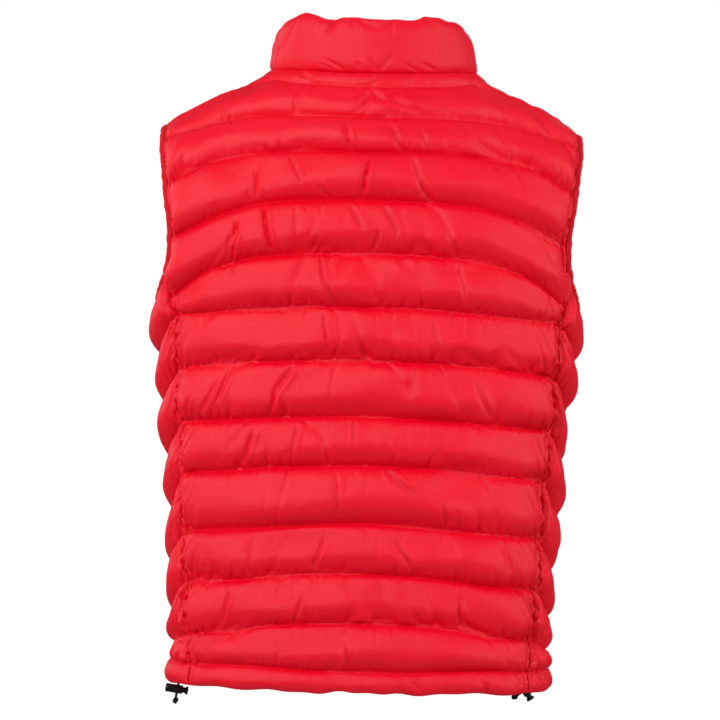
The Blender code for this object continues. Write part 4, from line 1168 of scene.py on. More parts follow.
def stitched_piece(name, rows):
    """One joined mesh of small threads."""
    stitches = np.concatenate(rows)
    middle, along, off = stitches[:, 0], stitches[:, 1], stitches[:, 2]
    aside = unit(np.cross(along, off)) * np.linalg.norm(off, axis=1)[:, None]
    points = []
    for place, share, rise in STITCH_RINGS:
        for k in range(STITCH_SIDES):
            a = 2 * math.pi * k / STITCH_SIDES
            round_it = (off * math.cos(a) + aside * math.sin(a)) * share
            points.append(middle + along * place + off * rise + round_it)
    points = np.stack(points, 1)
    each = points.shape[1]
    faces = drawn_out(len(STITCH_RINGS), STITCH_SIDES)
    every = [tuple(n * each + i for i in face) for n in range(len(points)) for face in faces]
    piece = made_mesh(name, points.reshape(-1, 3), every)
    return dress(piece, thread, "shell", "vest")


THREAD_TWIST = 9000             # turns of the thread's plies, in radians to a metre
# painted shade and painted light: the colour in the grooves between the plies, and on the plies' lit tops
THREAD_GROOVE_SHADE, THREAD_PLY_LIT = (0.55, 0.006, 0.014), (0.8, 0.012, 0.028)


def red_thread():
    """Twisted polyester sewing thread, with painted shade: a little darker in the grooves between its plies,
    where shade falls.
    """
    finish = Finish("red_thread", Roughness=0.5, Specular_IOR_Level=0.3)
    twist = (finish.node("ShaderNodeSeparateXYZ", {}, finish.place())[0] * THREAD_TWIST).wave()
    # painted shade: the colour darkens in a wave, standing in for the shade in the grooves between the plies
    finish.shade(Base_Color=finish.blended(twist * 0.5 + 0.5, THREAD_GROOVE_SHADE, THREAD_PLY_LIT))
    return finish.material


thread = red_thread()


def stitched_rows(cloth, grid, flip=1):
    """Stitches along every stitched row of a panel."""
    rows = []
    for i in range(1, len(grid.t) - 1):
        if grid.t[i, 0] == 0:
            held = grid.free[i] < SEWN_BELOW
            runs = np.split(np.arange(len(held)), np.flatnonzero(np.diff(held)) + 1)
            for run in (r for r in runs if held[r[0]] and len(r) > SHORTEST_RUN):
                rows.append(stitch_row(cloth[i, run], grid.directions[i, run] * flip))
    return rows


SIDES = (("left", 1), ("right", MIRROR))
stitched_piece("back_stitching", stitched_rows(back_cloth, back_grid))
for side, flip in SIDES:
    rows = [row for cloth, grid in sewn[side] for row in stitched_rows(cloth, grid, flip)]
    stitched_piece("front_stitching_" + side, rows)

# ---------------------------------------------------------------- armhole bindings
# Elastic tape in a duller red, folded over the armhole's raw edge and sewn through with one row
# of stitches. It draws the edge in a little, so that it ripples.

BINDING_SECTION = (
    # out into the armhole, off the cloth: from the sewn edge inside, round the fold, to the outside
    (0.1, -0.75), (2.6, -1.05), (5.0, -1.1), (7.0, -0.5), (8.2, 0.6), (8.55, 1.9), (8.2, 3.3), (7.0, 4.45),
    (5.2, 5.0), (3.0, 4.75), (1.2, 4.4), (0.1, 4.2), (0.05, 3.0), (0.05, 0.6),
)
BINDING_STEP = 2.0
BINDING_STITCHED = (2.6, 4.95)  # where its row of stitches is, measured in the same way
RIPPLES = ((31, 0.35, 0.4), (47, 0.28, 1.9), (83, 0.2, 0.7))    # round the armhole, how high, start
RIPPLES_START = {"left": 0.0, "right": 2.1}
RIPPLES_FULL_AT = 8             # out into the armhole
BACK_POINTS, LOW_POINTS, FRONT_POINTS, SMOOTHED = 80, 60, 85, 3


def edge_points(x, z, face):
    turn = turn_at(x, z, face)
    return inner_form(turn, z), outward(turn, z)


def armhole_edge():
    """Even points once round the left armhole's edge, and the ways out of the cloth there."""
    down = np.linspace(float(ridge_z(SHOULDER_TIP)), BACK_CORNER_Z, BACK_POINTS)
    back = edge_points(back_edge(down), down, 1)
    shares = np.linspace(0, 1, LOW_POINTS)[1:-1]
    low = armhole_low(shares)
    turn = turn_on_side(low, shares)
    up = np.linspace(FRONT_CORNER_Z, float(ridge_z(SHOULDER_TIP)), FRONT_POINTS)[:-1]
    front = edge_points(front_edge(up), up, -1)
    points = np.concatenate([back[0], inner_form(turn, low), front[0], back[0][:1]])
    out = np.concatenate([back[1], outward(turn, low), front[1], back[1][:1]])
    far = travelled(points)
    places = np.linspace(0, far[-1], round(far[-1] / BINDING_STEP), endpoint=False)
    points, out = between(places, far, points), between(places, far, out)
    for _ in range(SMOOTHED):
        out = (np.roll(out, 1, 0) + 2 * out + np.roll(out, -1, 0)) / 4
    return points, unit(out)


def ring_faces(stations, around):
    grid = np.arange(stations * around).reshape(stations, around)
    closed = np.concatenate([grid, grid[:1]])
    return cells(np.concatenate([closed, closed[:, :1]], axis=1))


TAPE_RIB, TAPE_ROW = 0.0011, 0.0008
# the tape's darker and lighter tone: at random, and as painted shade between the ribs
TAPE_DARK, TAPE_LIGHT = (0.60, 0.004, 0.013), (0.80, 0.010, 0.026)


def red_tape():
    """Knitted elastic tape: fine ribs across it, with a dull face. Its colour varies at random, and as
    painted shade it is a little darker in the furrows between the ribs.
    """
    finish = Finish("red_tape", Roughness=0.75, Specular_IOR_Level=0.2)
    flat = finish.place("cloth")
    x, y, _ = finish.node("ShaderNodeSeparateXYZ", {}, flat)
    ribs = (x * (2 * math.pi / TAPE_RIB)).wave()
    rows = (y * (2 * math.pi / TAPE_ROW)).wave()
    cloudy = finish.noise(finish.place(), 60.0, 3.0)
    # the cloudy share is the tape's own uneven tone; the ribs' share is painted shade in the furrows between
    # the ribs
    finish.shade(Base_Color=finish.blended(cloudy * 0.7 + ribs * 0.15, TAPE_DARK, TAPE_LIGHT))
    finish.bumps((ribs * 0.6 + rows * 0.4, 0.00012))
    return finish.material


tape = red_tape()
edge, edge_out = armhole_edge()
edge_along = unit(np.roll(edge, -1, 0) - np.roll(edge, 1, 0))
into_hole = unit(np.cross(edge_out, edge_along))
if ((edge.mean(0) - edge) * into_hole).sum() < 0:
    into_hole = -into_hole
around = np.arange(len(edge)) / len(edge) * 2 * math.pi
section = np.array(BINDING_SECTION)
around_length = np.cumsum(np.full(len(edge), BINDING_STEP))
section_length = np.cumsum(np.hypot(*np.diff(section, axis=0, prepend=section[:1]).T))
flat = np.stack(np.broadcast_arrays(around_length[:, None], section_length[None]), -1).reshape(-1, 2)
stitched_at = edge + into_hole * BINDING_STITCHED[0] + edge_out * BINDING_STITCHED[1]
for side, flip in SIDES:
    start = RIPPLES_START[side]
    rippled = sum(high * np.sin(count * around + first + start) for count, high, first in RIPPLES)
    reach = section[:, 0] + SEAM_GAP / 2
    lift = section[:, 1] + rippled[:, None] * np.clip(section[:, 0] / RIPPLES_FULL_AT, 0, 1)
    wall = edge[:, None] + into_hole[:, None] * reach[:, None] + edge_out[:, None] * lift[..., None]
    faces = ring_faces(*wall.shape[:2])
    piece = made_mesh("armhole_tape_" + side, (wall * flip).reshape(-1, 3), faces, flat)
    dress(piece, tape, "tape", "vest", "armhole_binding_" + side)
    row = stitch_row(stitched_at * flip, edge_out * flip)
    stitches = stitched_piece("armhole_stitching_" + side, [row])
    "front_" + side + "_cloth"

# ---------------------------------------------------------------- bound seams inside
# The raw edges of the side and shoulder seams are bound inside the vest with narrow strips of the
# same tape, and the neck seam with a thin roll of it.

SEAM_TAPE_WIDE, SEAM_TAPE_THICK, SEAM_TAPE_OFF, SEAM_TAPE_STEP = 10.5, 0.5, 0.35, 5.0
TAPE_COLUMNS = 7
TAPE_SHARP = 50
NECK_ROLL_R, NECK_ROLL_IN = 1.3, 1.25
NECK_ROLL_POINTS = 240


def flat_strip(name, points, inward, widths, step, thick, flip):
    """A thin tape: a grid of points and a second layer under it, closed round its edges."""
    rows, columns = points.shape[:2]
    grid = np.arange(rows * columns).reshape(rows, columns)
    behind = grid + grid.size
    faces = cells(grid) + cells(behind[:, ::-1])
    for border in (np.s_[0], np.s_[-1], np.s_[:, 0], np.s_[:, -1]):
        a, b = grid[border].tolist(), behind[border].tolist()
        faces += list(zip(a, a[1:], b[1:], b))
    down = np.arange(rows) * step
    flat = np.stack(np.broadcast_arrays(widths[None, :], down[:, None]), -1).reshape(-1, 2)
    every = np.concatenate([points.reshape(-1, 3), (points + inward * thick).reshape(-1, 3)]) * flip
    return made_mesh(name, every, faces, np.concatenate([flat, flat]), TAPE_SHARP)


def tube(points, radius, sides=10):
    """Points and faces of a closed tube along a path."""
    tangent = unit(np.gradient(points, axis=0))
    aside = np.zeros_like(points)
    way = unit(np.cross(tangent[0], [0.3, 1.0, 0.2]))
    for i, along in enumerate(tangent):
        way = unit(way - along * (way * along).sum())
        aside[i] = way
    other = np.cross(tangent, aside)
    a = np.linspace(0, 2 * math.pi, sides, endpoint=False)
    out = aside[:, None] * np.cos(a)[:, None] + other[:, None] * np.sin(a)[:, None]
    rings = points[:, None] + radius * out
    grid = np.arange(len(points) * sides).reshape(len(points), sides)
    faces = cells(np.concatenate([grid, grid[:, :1]], axis=1))
    faces += [tuple(grid[0].tolist()), tuple(grid[-1][::-1].tolist())]
    return rings.reshape(-1, 3), faces


def sewn_tape(name, points, inward, widths, flip):
    piece = flat_strip(name, points, inward, widths, SEAM_TAPE_STEP, SEAM_TAPE_THICK, flip)
    dress(piece, tape, "tape", "vest")


def seam_tape(name, face, edge_at, corner, flip, rests_on):
    """Along a side seam, from the hem up to the armhole's corner."""
    z = np.arange(HEM_Z + 1, corner - 2, SEAM_TAPE_STEP)[:, None]
    widths = np.linspace(-SEAM_TAPE_WIDE / 2, SEAM_TAPE_WIDE / 2, TAPE_COLUMNS)
    turn = turn_at(edge_at(z), z, face)
    small = 0.01
    beside = inner_form(turn + small, z) - inner_form(turn - small, z)
    turn = turn + widths / (np.linalg.norm(beside, axis=-1) / (2 * small))
    inward = -outward(turn, z)
    off = SEAM_TAPE_OFF + LINING_PUFF * seam_fade(np.abs(widths))
    points = inner_form(turn, z) + inward * off[..., None]
    sewn_tape(name, uneven_hem(points), inward, widths, flip)


def shoulder_tape(name, flip):
    """Along the shoulder seam, from the neck to the armhole."""
    x = np.arange(NECK_HALF + 1, SHOULDER_TIP - 1, SEAM_TAPE_STEP)[:, None]
    widths = np.linspace(-SEAM_TAPE_WIDE / 2, SEAM_TAPE_WIDE / 2, TAPE_COLUMNS)
    fall = (ridge_z(x + 1) - ridge_z(x - 1)) / 2
    inward = unit(np.stack([fall, 0 * fall, 0 * fall - 1], -1)) + np.zeros((1, len(widths), 1))
    points = np.stack(np.broadcast_arrays(x, RIDGE_Y + widths, ridge_z(x)), -1) + inward * 2 * SEAM_TAPE_OFF
    sewn_tape(name, points, inward, widths, flip)


round_neck = np.linspace(-NECK_OPENING, math.pi + NECK_OPENING, NECK_ROLL_POINTS)
neck_base, neck_mitre, _, _ = collar_stations(round_neck)
neck_points, neck_faces = tube(neck_base - neck_mitre * NECK_ROLL_IN, NECK_ROLL_R)
dress(made_mesh("neck_binding", neck_points, neck_faces), tape, "tape", "vest")
for side, flip in SIDES:
    shoulder_tape("shoulder_tape_" + side, flip)
    seam_tape("back_seam_tape_" + side, 1, back_edge, BACK_CORNER_Z, flip, ["back_panel_cloth"])
    seam_tape("front_seam_tape_" + side, -1, front_edge, FRONT_CORNER_Z, flip, ["front_" + side + "_cloth"])

# ---------------------------------------------------------------- front zip
# A full zip up the centre front to the top of the collar: two woven tapes sewn behind the front
# edges, a moulded tooth row on each, and stops at the ends.

TAPE_THICK, TAPE_GAP = 1.2, 0.9
TAPE_FROM, TAPE_TO = 2.6, 14.0
ZIP_TAPE_COLUMNS = 8
ZIP_STATION = 4.0
ZIP_ABOVE_HEM, ZIP_BELOW_NECK = 0.4, 6
ZIP_ON_COLLAR = (0.04, 0.98, 16)        # shares of the collar's height, and how many stations
TOOTH_PITCH = 2.9
TOOTH_SHARP = 40
SLIDER_DOWN = 12.0              # the teeth end inside the slider, this far below the top
ZIP_BOX, ZIP_PIN, TOP_STOP = (8.6, 3.4, 9.5), (1.7, 2.4, 16.0), (2.2, 3.0, 3.6)


def zip_stations():
    """Heights up the panels and shares up the collar, as functions from widths to points."""
    low, high = HEM_Z + ZIP_ABOVE_HEM, float(neckline_z(0, -1)) - ZIP_BELOW_NECK
    for z in np.linspace(low, high, round((high - low) / ZIP_STATION)):
        yield lambda x, z=z: edge_points(x, z + 0 * x, -1)
    for share in np.linspace(*ZIP_ON_COLLAR):
        def on_collar(x, share=share):
            base, mitre, level, rim = collar_stations(-np.arccos(x / NECK_HALF))
            up = unit(rim - base)
            return base + (rim - base) * share, unit(level - up * (level * up).sum(-1, keepdims=True))

        yield on_collar


def zip_strip(widths):
    points, out = zip(*(station(np.array(widths, float)) for station in zip_stations()))
    return np.array(points), np.array(out)


def zip_tape(side, flip):
    widths = np.linspace(TAPE_FROM, TAPE_TO, ZIP_TAPE_COLUMNS)
    points, out = zip_strip(widths)
    behind = points - out * TAPE_GAP
    piece = flat_strip("zip_cloth_" + side, behind, -out, widths, ZIP_STATION, TAPE_THICK, flip)
    dress(piece, tape, "tape", "vest", "zip_tape_" + side)
    return piece, len(points) * ZIP_STATION


def black_moulded():
    """Glossy moulded plastic with a faint unevenness."""
    finish = Finish("black_moulded", Base_Color=(0.012, 0.012, 0.014, 1.0), Roughness=0.28)
    speck = finish.noise(finish.place(), 900.0, 3.0)
    finish.shade(Roughness=speck * 0.2 + 0.2)
    finish.bumps((speck, 0.00005))
    return finish.material


moulded = black_moulded()
TOOTH_OUTLINE = (
    # reach over the middle, half height: a narrow neck on the tape and a wider head
    (-0.9, 0.55), (0.3, 0.55), (1.0, 0.95), (1.9, 1.1), (2.7, 0.75),
    (2.7, -0.75), (1.9, -1.1), (1.0, -0.95), (0.3, -0.55), (-0.9, -0.55),
)
TOOTH_RINGS = (
    # through the tape, and how large the outline is there
    (-1.15, 0.8), (-0.75, 1), (0.75, 1), (1.15, 0.8),
)


def zip_teeth():
    """Both rows of teeth, one mesh. The left row's teeth stand half a pitch below the right one's."""
    points, out = zip_strip([TAPE_FROM])
    line, away = points[:, 0], out[:, 0]
    far = travelled(line)
    vertices, faces = [], []
    for flip, first in ((1, 0.0), (-1, TOOTH_PITCH / 2)):
        for at in np.arange(ZIP_BOX[2] + first, far[-1] - SLIDER_DOWN, TOOTH_PITCH):
            point, off = between(at, far, line), unit(between(at, far, away))
            up = unit(between(at + 1, far, line) - point)
            aside = unit(np.cross(up, off))
            aside = aside * -np.sign(aside[0])
            middle = point - off * (TAPE_GAP + TAPE_THICK / 2)
            base = len(vertices)
            for depth, size in TOOTH_RINGS:
                for reach, high in TOOTH_OUTLINE:
                    spot = middle + aside * reach * size + up * high * size + off * depth
                    vertices.append(spot * [flip, 1, 1])
            shape = drawn_out(len(TOOTH_RINGS), len(TOOTH_OUTLINE))
            faces += [tuple(base + i for i in face) for face in shape]
    piece = made_mesh("zip_teeth", vertices, faces, None, TOOTH_SHARP)
    return dress(piece, moulded, "plastic", "vest")


zip_teeth()
for side, flip in SIDES:
    cloth_tape, long = zip_tape(side, flip)
    round(long * MM, 3)
    "front_" + side + "_cloth"

# ---------------------------------------------------------------- slider, pull tab and cord locks
# Die-cast slider and pull tab in black lacquer, and glossy moulded barrels with sprung plungers.
# Each is made lying at its own zero, in millimetres, and then set in its place.

SLIDER_LEAN = math.radians(5.86)        # of the zip at the collar, back from upright
PLATE = (10.0, 1.2, 12.0)
PLATE_NARROWED = 0.74                   # towards the lower end, where the closed teeth come out
PLATE_CORNER = 1.6
FRONT_PLATE, BACK_PLATE = (0, 1.95, -1.0), (0, 6.75, -1.0)
FLANGE = (0.9, 1.5, 9.0)
FLANGE_ASIDE, FLANGE_IN = 4.0, 0.8      # from the slider's middle, and from each plate's middle
POST = ((3.0, 4.0, 3.0), (0, 4.35, 2.6))        # the wedge between the plates: size and middle
BRIDGE_FOOT, BRIDGE_MIDDLE = (2.2, 1.2, 1.1), (0, 1.4, -1.1)
BRIDGE_REACH, BRIDGE_SUNK = 3.1, 0.9
BRIDGE_STEPS = 12
PULL = ((7.0, 1.4, 27.0), (0, 0, -12.8), 0.6)   # size, middle and corners
PULL_CUTS = (
    # the same for the window for the bridge, the hole at the end and the recess in each face
    ((4.4, 4.0, 6.0), (0, 0, -3.7), 1.0),
    ((3.0, 4.0, 5.0), (0, 0, -21.0), 1.2),
    ((4.2, 0.5, 8.4), (0, -0.7, -12.6), 1.0),
    ((4.2, 0.5, 8.4), (0, 0.7, -12.6), 1.0),
)
SLIDER_ROUNDING, PULL_ROUNDING, STOP_ROUNDING = 0.22, 0.2, 0.3
ROUNDED_FROM, FITTING_SHARP = 40, 38    # degrees between the faces at an edge
BARREL = (
    # along the lock, how wide from its middle: the closed end, grip rings, the mouth and the bore
    (-13.0, 3.2), (-12.7, 4.0), (-12.2, 4.5), (-11.5, 4.7),
    (-10.0, 4.7), (-9.8, 4.4), (-9.2, 4.4), (-9.0, 4.7),
    (-8.0, 4.7), (-7.8, 4.4), (-7.2, 4.4), (-7.0, 4.7),
    (-6.0, 4.7), (-5.8, 4.4), (-5.2, 4.4), (-5.0, 4.7),
    (3.4, 4.7), (3.6, 4.45), (4.1, 4.45), (4.3, 4.7), (5.6, 4.7),
    (6.0, 4.4), (6.0, 3.5), (1.4, 3.45),
)
PLUNGER = (
    # the same: the shaft, the head with its groove, and the hollow in its end
    (4.6, 2.9), (4.8, 3.1), (9.2, 3.1), (9.2, 4.0), (9.5, 4.5), (10.2, 4.5), (10.4, 4.3),
    (10.8, 4.3), (11.0, 4.5), (11.6, 4.5), (12.0, 4.1), (12.0, 3.0), (11.5, 2.6),
)
CROSS_HOLE, CROSS_HOLE_LONG = 4.0, 20
LOCK_PLACES = {
    # the middle of the hole for the cord, the way the plunger points, the way the cord goes through
    "left": ((0.1991, -0.001, -0.6744), (-0.99, 0.0, -0.14), (0.14, 0.0, -0.99)),
    "right": ((-0.1851, -0.020, -0.6686), (-0.53, 0.0, -0.85), (0.85, 0.0, -0.53)),
}


def black_lacquer():
    """Lacquered die-cast metal, a little less glossy where hands wear it."""
    finish = Finish("black_lacquer", Base_Color=(0.02, 0.02, 0.022, 1.0), Roughness=0.3, Metallic=0.6)
    worn = finish.noise(finish.place(), 300.0, 4.0)
    finish.shade(Roughness=worn * 0.3 + 0.2)
    finish.bumps((worn, 0.00008))
    return finish.material


lacquer = black_lacquer()


def select_parts(made, kind, wanted):
    """Goes into edit mode with just those edges or faces selected that pass a test."""
    bpy.ops.object.mode_set(mode="EDIT")
    bpy.ops.mesh.select_mode(type=kind)
    bpy.ops.mesh.select_all(action="DESELECT")
    shape = bmesh.from_edit_mesh(made.data)
    for part in shape.edges if kind == "EDGE" else shape.faces:
        part.select_set(wanted(part))
    bmesh.update_edit_mesh(made.data)


def block(size, middle, corner=0.0, narrowed=1.0):
    """A cast block: corners rounded as seen from the front, and a lower end that may be narrower."""
    bpy.ops.object.select_all(action="DESELECT")
    bpy.ops.mesh.primitive_cube_add(size=1)
    made = bpy.context.object
    made.data.transform(Matrix.Translation(middle) @ Matrix.Diagonal((*size, 1)))
    if narrowed != 1:
        select_parts(made, "EDGE", lambda part: all(end.co.z < middle[2] for end in part.verts))
        bpy.ops.transform.resize(value=(narrowed, 1, 1))
        bpy.ops.object.mode_set(mode="OBJECT")
    if corner:
        through_it = size[1] / 2
        select_parts(made, "EDGE", lambda part: abs(part.verts[0].co.y - part.verts[1].co.y) > through_it)
        bpy.ops.mesh.bevel(offset=corner, segments=5)
        bpy.ops.object.mode_set(mode="OBJECT")
    return made


def turned_piece(rings, sides=40):
    """A round moulding about its own upright axis: a disc drawn out from ring to ring."""
    bpy.ops.object.select_all(action="DESELECT")
    bpy.ops.mesh.primitive_circle_add(vertices=sides, radius=rings[0][1], fill_type="NGON")
    made = bpy.context.object
    made.data.transform(Matrix.Translation((0, 0, rings[0][0])))
    bpy.ops.object.mode_set(mode="EDIT")
    bpy.ops.mesh.select_all(action="SELECT")
    for (low, was), (high, now) in zip(rings, rings[1:]):
        bpy.ops.mesh.extrude_region_move(TRANSFORM_OT_translate={"value": (0, 0, high - low)})
        bpy.ops.transform.resize(value=(now / was, now / was, 1))
    bpy.ops.mesh.select_all(action="SELECT")
    bpy.ops.mesh.normals_make_consistent(inside=False)
    bpy.ops.object.mode_set(mode="OBJECT")
    return made


def combined(made, others, operation):
    """Joins other shapes on, or cuts them out."""
    for other in others:
        step = made.modifiers.new("step", "BOOLEAN")
        step.operation, step.object, step.solver = operation, other, "EXACT"
        bpy.context.view_layer.objects.active = made
        bpy.ops.object.modifier_apply(modifier="step")
        bpy.data.objects.remove(other)
    return made


def fitted(made, name, place, finish, slot, body, rounding, *replaced):
    """Rounds a fitting's edges, sets it in its place in metres and dresses it."""
    made.name = made.data.name = name
    if rounding:
        step = made.modifiers.new("rounding", "BEVEL")
        step.width, step.segments = rounding, 2
        step.limit_method, step.angle_limit = "ANGLE", math.radians(ROUNDED_FROM)
        bpy.context.view_layer.objects.active = made
        bpy.ops.object.modifier_apply(modifier="rounding")
    made.data.transform(place @ Matrix.Diagonal((MM, MM, MM, 1)))
    made.data.shade_smooth()
    made.data.set_sharp_from_angle(angle=math.radians(FITTING_SHARP))
    return dress(made, finish, slot, body, *replaced)


def bridge():
    """The arch on the front plate that the pull tab hangs in."""
    made = block(BRIDGE_FOOT, (0, BRIDGE_MIDDLE[1], BRIDGE_MIDDLE[2] - BRIDGE_REACH))
    select_parts(made, "FACE", lambda part: part.normal.y < -0.9)
    turned_about = (0, BRIDGE_MIDDLE[1] - BRIDGE_FOOT[1] / 2, BRIDGE_MIDDLE[2])
    bpy.ops.mesh.spin(steps=BRIDGE_STEPS, angle=math.pi, center=turned_about, axis=(1, 0, 0))
    bpy.ops.mesh.extrude_region_move(TRANSFORM_OT_translate={"value": (0, BRIDGE_SUNK, 0)})
    bpy.ops.mesh.select_all(action="SELECT")
    bpy.ops.mesh.remove_doubles(threshold=0.001)
    bpy.ops.mesh.normals_make_consistent(inside=False)
    bpy.ops.object.mode_set(mode="OBJECT")
    return made


swing = next(joint for joint in frame["joints"] if joint["name"] == "zip_pull_swing")
at_slider = Matrix.Translation(swing["pos_m"]) @ Matrix.Rotation(-SLIDER_LEAN, 4, "X")
flange_y = (FRONT_PLATE[1] + FLANGE_IN, BACK_PLATE[1] - FLANGE_IN)
slider_parts = [block(PLATE, BACK_PLATE, PLATE_CORNER, PLATE_NARROWED), block(*POST)]
slider_parts += [block(FLANGE, (way * FLANGE_ASIDE, y, 0.0)) for way in (1, -1) for y in flange_y]
slider_parts.append(bridge())
slider = combined(block(PLATE, FRONT_PLATE, PLATE_CORNER, PLATE_NARROWED), slider_parts, "UNION")
fitted(slider, "zip_slider_body", at_slider, lacquer, "metal", "vest", SLIDER_ROUNDING, "zip_slider")
pull = combined(block(*PULL), [block(*cut) for cut in PULL_CUTS], "DIFFERENCE")
fitted(pull, "zip_pull", at_slider, lacquer, "metal", "zip_pull", PULL_ROUNDING, "zip_pull_tab")

zip_line, zip_out = zip_strip([0.0])
stops = (
    # name, station, how far along the zip and aside, size
    ("zip_box", 0, 4.6, 0.0, ZIP_BOX),
    ("zip_pin", 0, 8.2, -2.9, ZIP_PIN),
    ("top_stop_left", -1, -2.6, 2.9, TOP_STOP),
    ("top_stop_right", -1, -2.6, -2.9, TOP_STOP),
)
for name, station, along_by, aside_by, size in stops:
    nearby = zip_line[[0, 1] if station == 0 else [-2, -1], 0]
    up, away = Vector(unit(nearby[1] - nearby[0])), Vector(zip_out[station, 0])
    back = -(away - up * away.dot(up)).normalized()
    turn = Matrix((back.cross(up), back, up)).transposed().to_4x4()
    spot = Vector(zip_line[station, 0]) + back * (TAPE_GAP + TAPE_THICK / 2) + up * along_by
    place = Matrix.Translation(spot * MM) @ turn
    stop = block(size, (aside_by, 0, 0), min(size) / 4)
    fitted(stop, name, place, moulded, "plastic", "vest", STOP_ROUNDING)

locks, plungers = {}, {}
for side, (middle, points_to, cord_way) in LOCK_PLACES.items():
    up, across = Vector(points_to).normalized(), Vector(cord_way).normalized()
    turn = Matrix((across, up.cross(across), up)).transposed().to_4x4()
    place = Matrix.Translation(middle) @ turn
    bpy.ops.mesh.primitive_cylinder_add(vertices=32, radius=CROSS_HOLE / 2, depth=CROSS_HOLE_LONG,
                                        rotation=(0, math.pi / 2, 0))
    hole = bpy.context.object
    barrel = combined(turned_piece(BARREL), [hole], "DIFFERENCE")
    locks[side] = fitted(barrel, "cord_lock_barrel_" + side, place, moulded, "plastic",
                         "vest", 0, "cord_lock_" + side)
    plungers[side] = fitted(turned_piece(PLUNGER), "cord_lock_plunger_" + side, place, moulded, "plastic",
                            "plunger_" + side, 0, "cord_plunger_" + side)

# ---------------------------------------------------------------- drawcords
# Thin black braided elastic. It leaves an eyelet inside the hem channel, goes through a cord lock
# and ends in a stopper knot. The rest of it runs inside the hem.

CORD_D = 0.0028
CORD_LEFT = (
    (0.2, -0.001, -0.648), (0.197, -0.001, -0.6485), (0.1952, -0.001, -0.6512), (0.1949, -0.001, -0.6556),
    (0.1958, -0.001, -0.6615), (0.1976, -0.001, -0.6675), (0.1989, -0.001, -0.673), (0.1997, -0.001, -0.6785),
    (0.2003, -0.001, -0.6835),
)
CORD_RIGHT = (
    (-0.1986, -0.02, -0.645), (-0.1956, -0.02, -0.6458), (-0.1936, -0.02, -0.6488), (-0.1932, -0.02, -0.653),
    (-0.1934, -0.02, -0.6576), (-0.1923, -0.02, -0.6622), (-0.1892, -0.02, -0.666), (-0.1851, -0.02, -0.6686),
    (-0.18, -0.02, -0.6718), (-0.1762, -0.02, -0.6742),
)
CORD_POINTS, CORD_SIDES = 40, 12
BRAID_TURNS = 5200              # of its strands, in radians to a metre
# painted shade in the hollows between the strands, and the raised strands' lit colour
BRAID_HOLLOW_SHADE, BRAID_STRAND_LIT = (0.008, 0.008, 0.009), (0.035, 0.035, 0.038)
KNOT_R, KNOT_TALL, KNOT_TAIL = 0.0033, 2.1, 0.0072
KNOT_POINTS, KNOT_SWING = 90, 1.35
LOOP_R, CORE_R = CORD_D * 0.47, CORD_D * 0.46
CORE_FROM, CORE_POINTS = -0.0003, 12
EYELET_RING, EYELET_WIRE, EYELET_FLAT = 2.5, 0.7, 0.7
EYELETS = {"left": (0.2016, -0.001, -0.648), "right": (-0.2016, -0.020, -0.645)}


def smooth_route(points, count):
    """Even points on a smooth curve through the route's own points."""
    knots = np.array(points, float)
    ends = np.vstack([2 * knots[0] - knots[1], knots, 2 * knots[-1] - knots[-2]])
    t = np.linspace(0, 1, 12, endpoint=False)[:, None]
    fine = []
    for a, b, c, d in zip(ends, ends[1:], ends[2:], ends[3:]):
        fine.append(0.5 * (2 * b + (c - a) * t + (2 * a - 5 * b + 4 * c - d) * t ** 2
                           + (3 * b - a - 3 * c + d) * t ** 3))
    fine = np.vstack([*fine, knots[-1:]])
    far = travelled(fine)
    return between(np.linspace(0, far[-1], count), far, fine), far[-1]


def black_braid():
    """Braided elastic: crossed strands that show as small diamonds along the cord, with painted shade: darker
    in the hollows between the raised strands.
    """
    finish = Finish("black_braid", Roughness=0.75)
    x, _, z = finish.node("ShaderNodeSeparateXYZ", {}, finish.place())
    one, two = ((x + z) * BRAID_TURNS).wave(), ((x - z) * BRAID_TURNS).wave()
    raised = (one * two).size()
    # painted shade: besides the bump, the colour darkens where the strands sink
    finish.shade(Base_Color=finish.blended(raised, BRAID_HOLLOW_SHADE, BRAID_STRAND_LIT))
    finish.bumps((raised, 0.00025))
    return finish.material


braid = black_braid()


def stopper_knot(name, end, along):
    """An overhand knot: a three-lobed loop of the cord, pulled up tight."""
    a = np.linspace(0, 2 * math.pi, KNOT_POINTS, endpoint=False)
    x, y = np.sin(a) + 2 * np.sin(2 * a), np.cos(a) - 2 * np.cos(2 * a)
    path = np.stack([x, y, -np.sin(3 * a) * KNOT_SWING], -1) / 3 * (KNOT_R - LOOP_R)
    path[:, 2] *= KNOT_TALL
    path = np.concatenate([path, path[:1]])
    turn = np.array(Vector((0, 0, 1)).rotation_difference(Vector(along)).to_matrix())
    points, faces = tube(path @ turn.T, LOOP_R)
    middle = end + along * KNOT_R
    core_line = end + along * np.linspace(CORE_FROM, KNOT_TAIL, CORE_POINTS)[:, None]
    core, core_faces = tube(core_line, CORE_R)
    faces += [tuple(i + len(points) for i in face) for face in core_faces]
    piece = made_mesh(name, np.concatenate([points + middle, core]) / MM, faces)
    return dress(piece, braid, "cord", "vest")


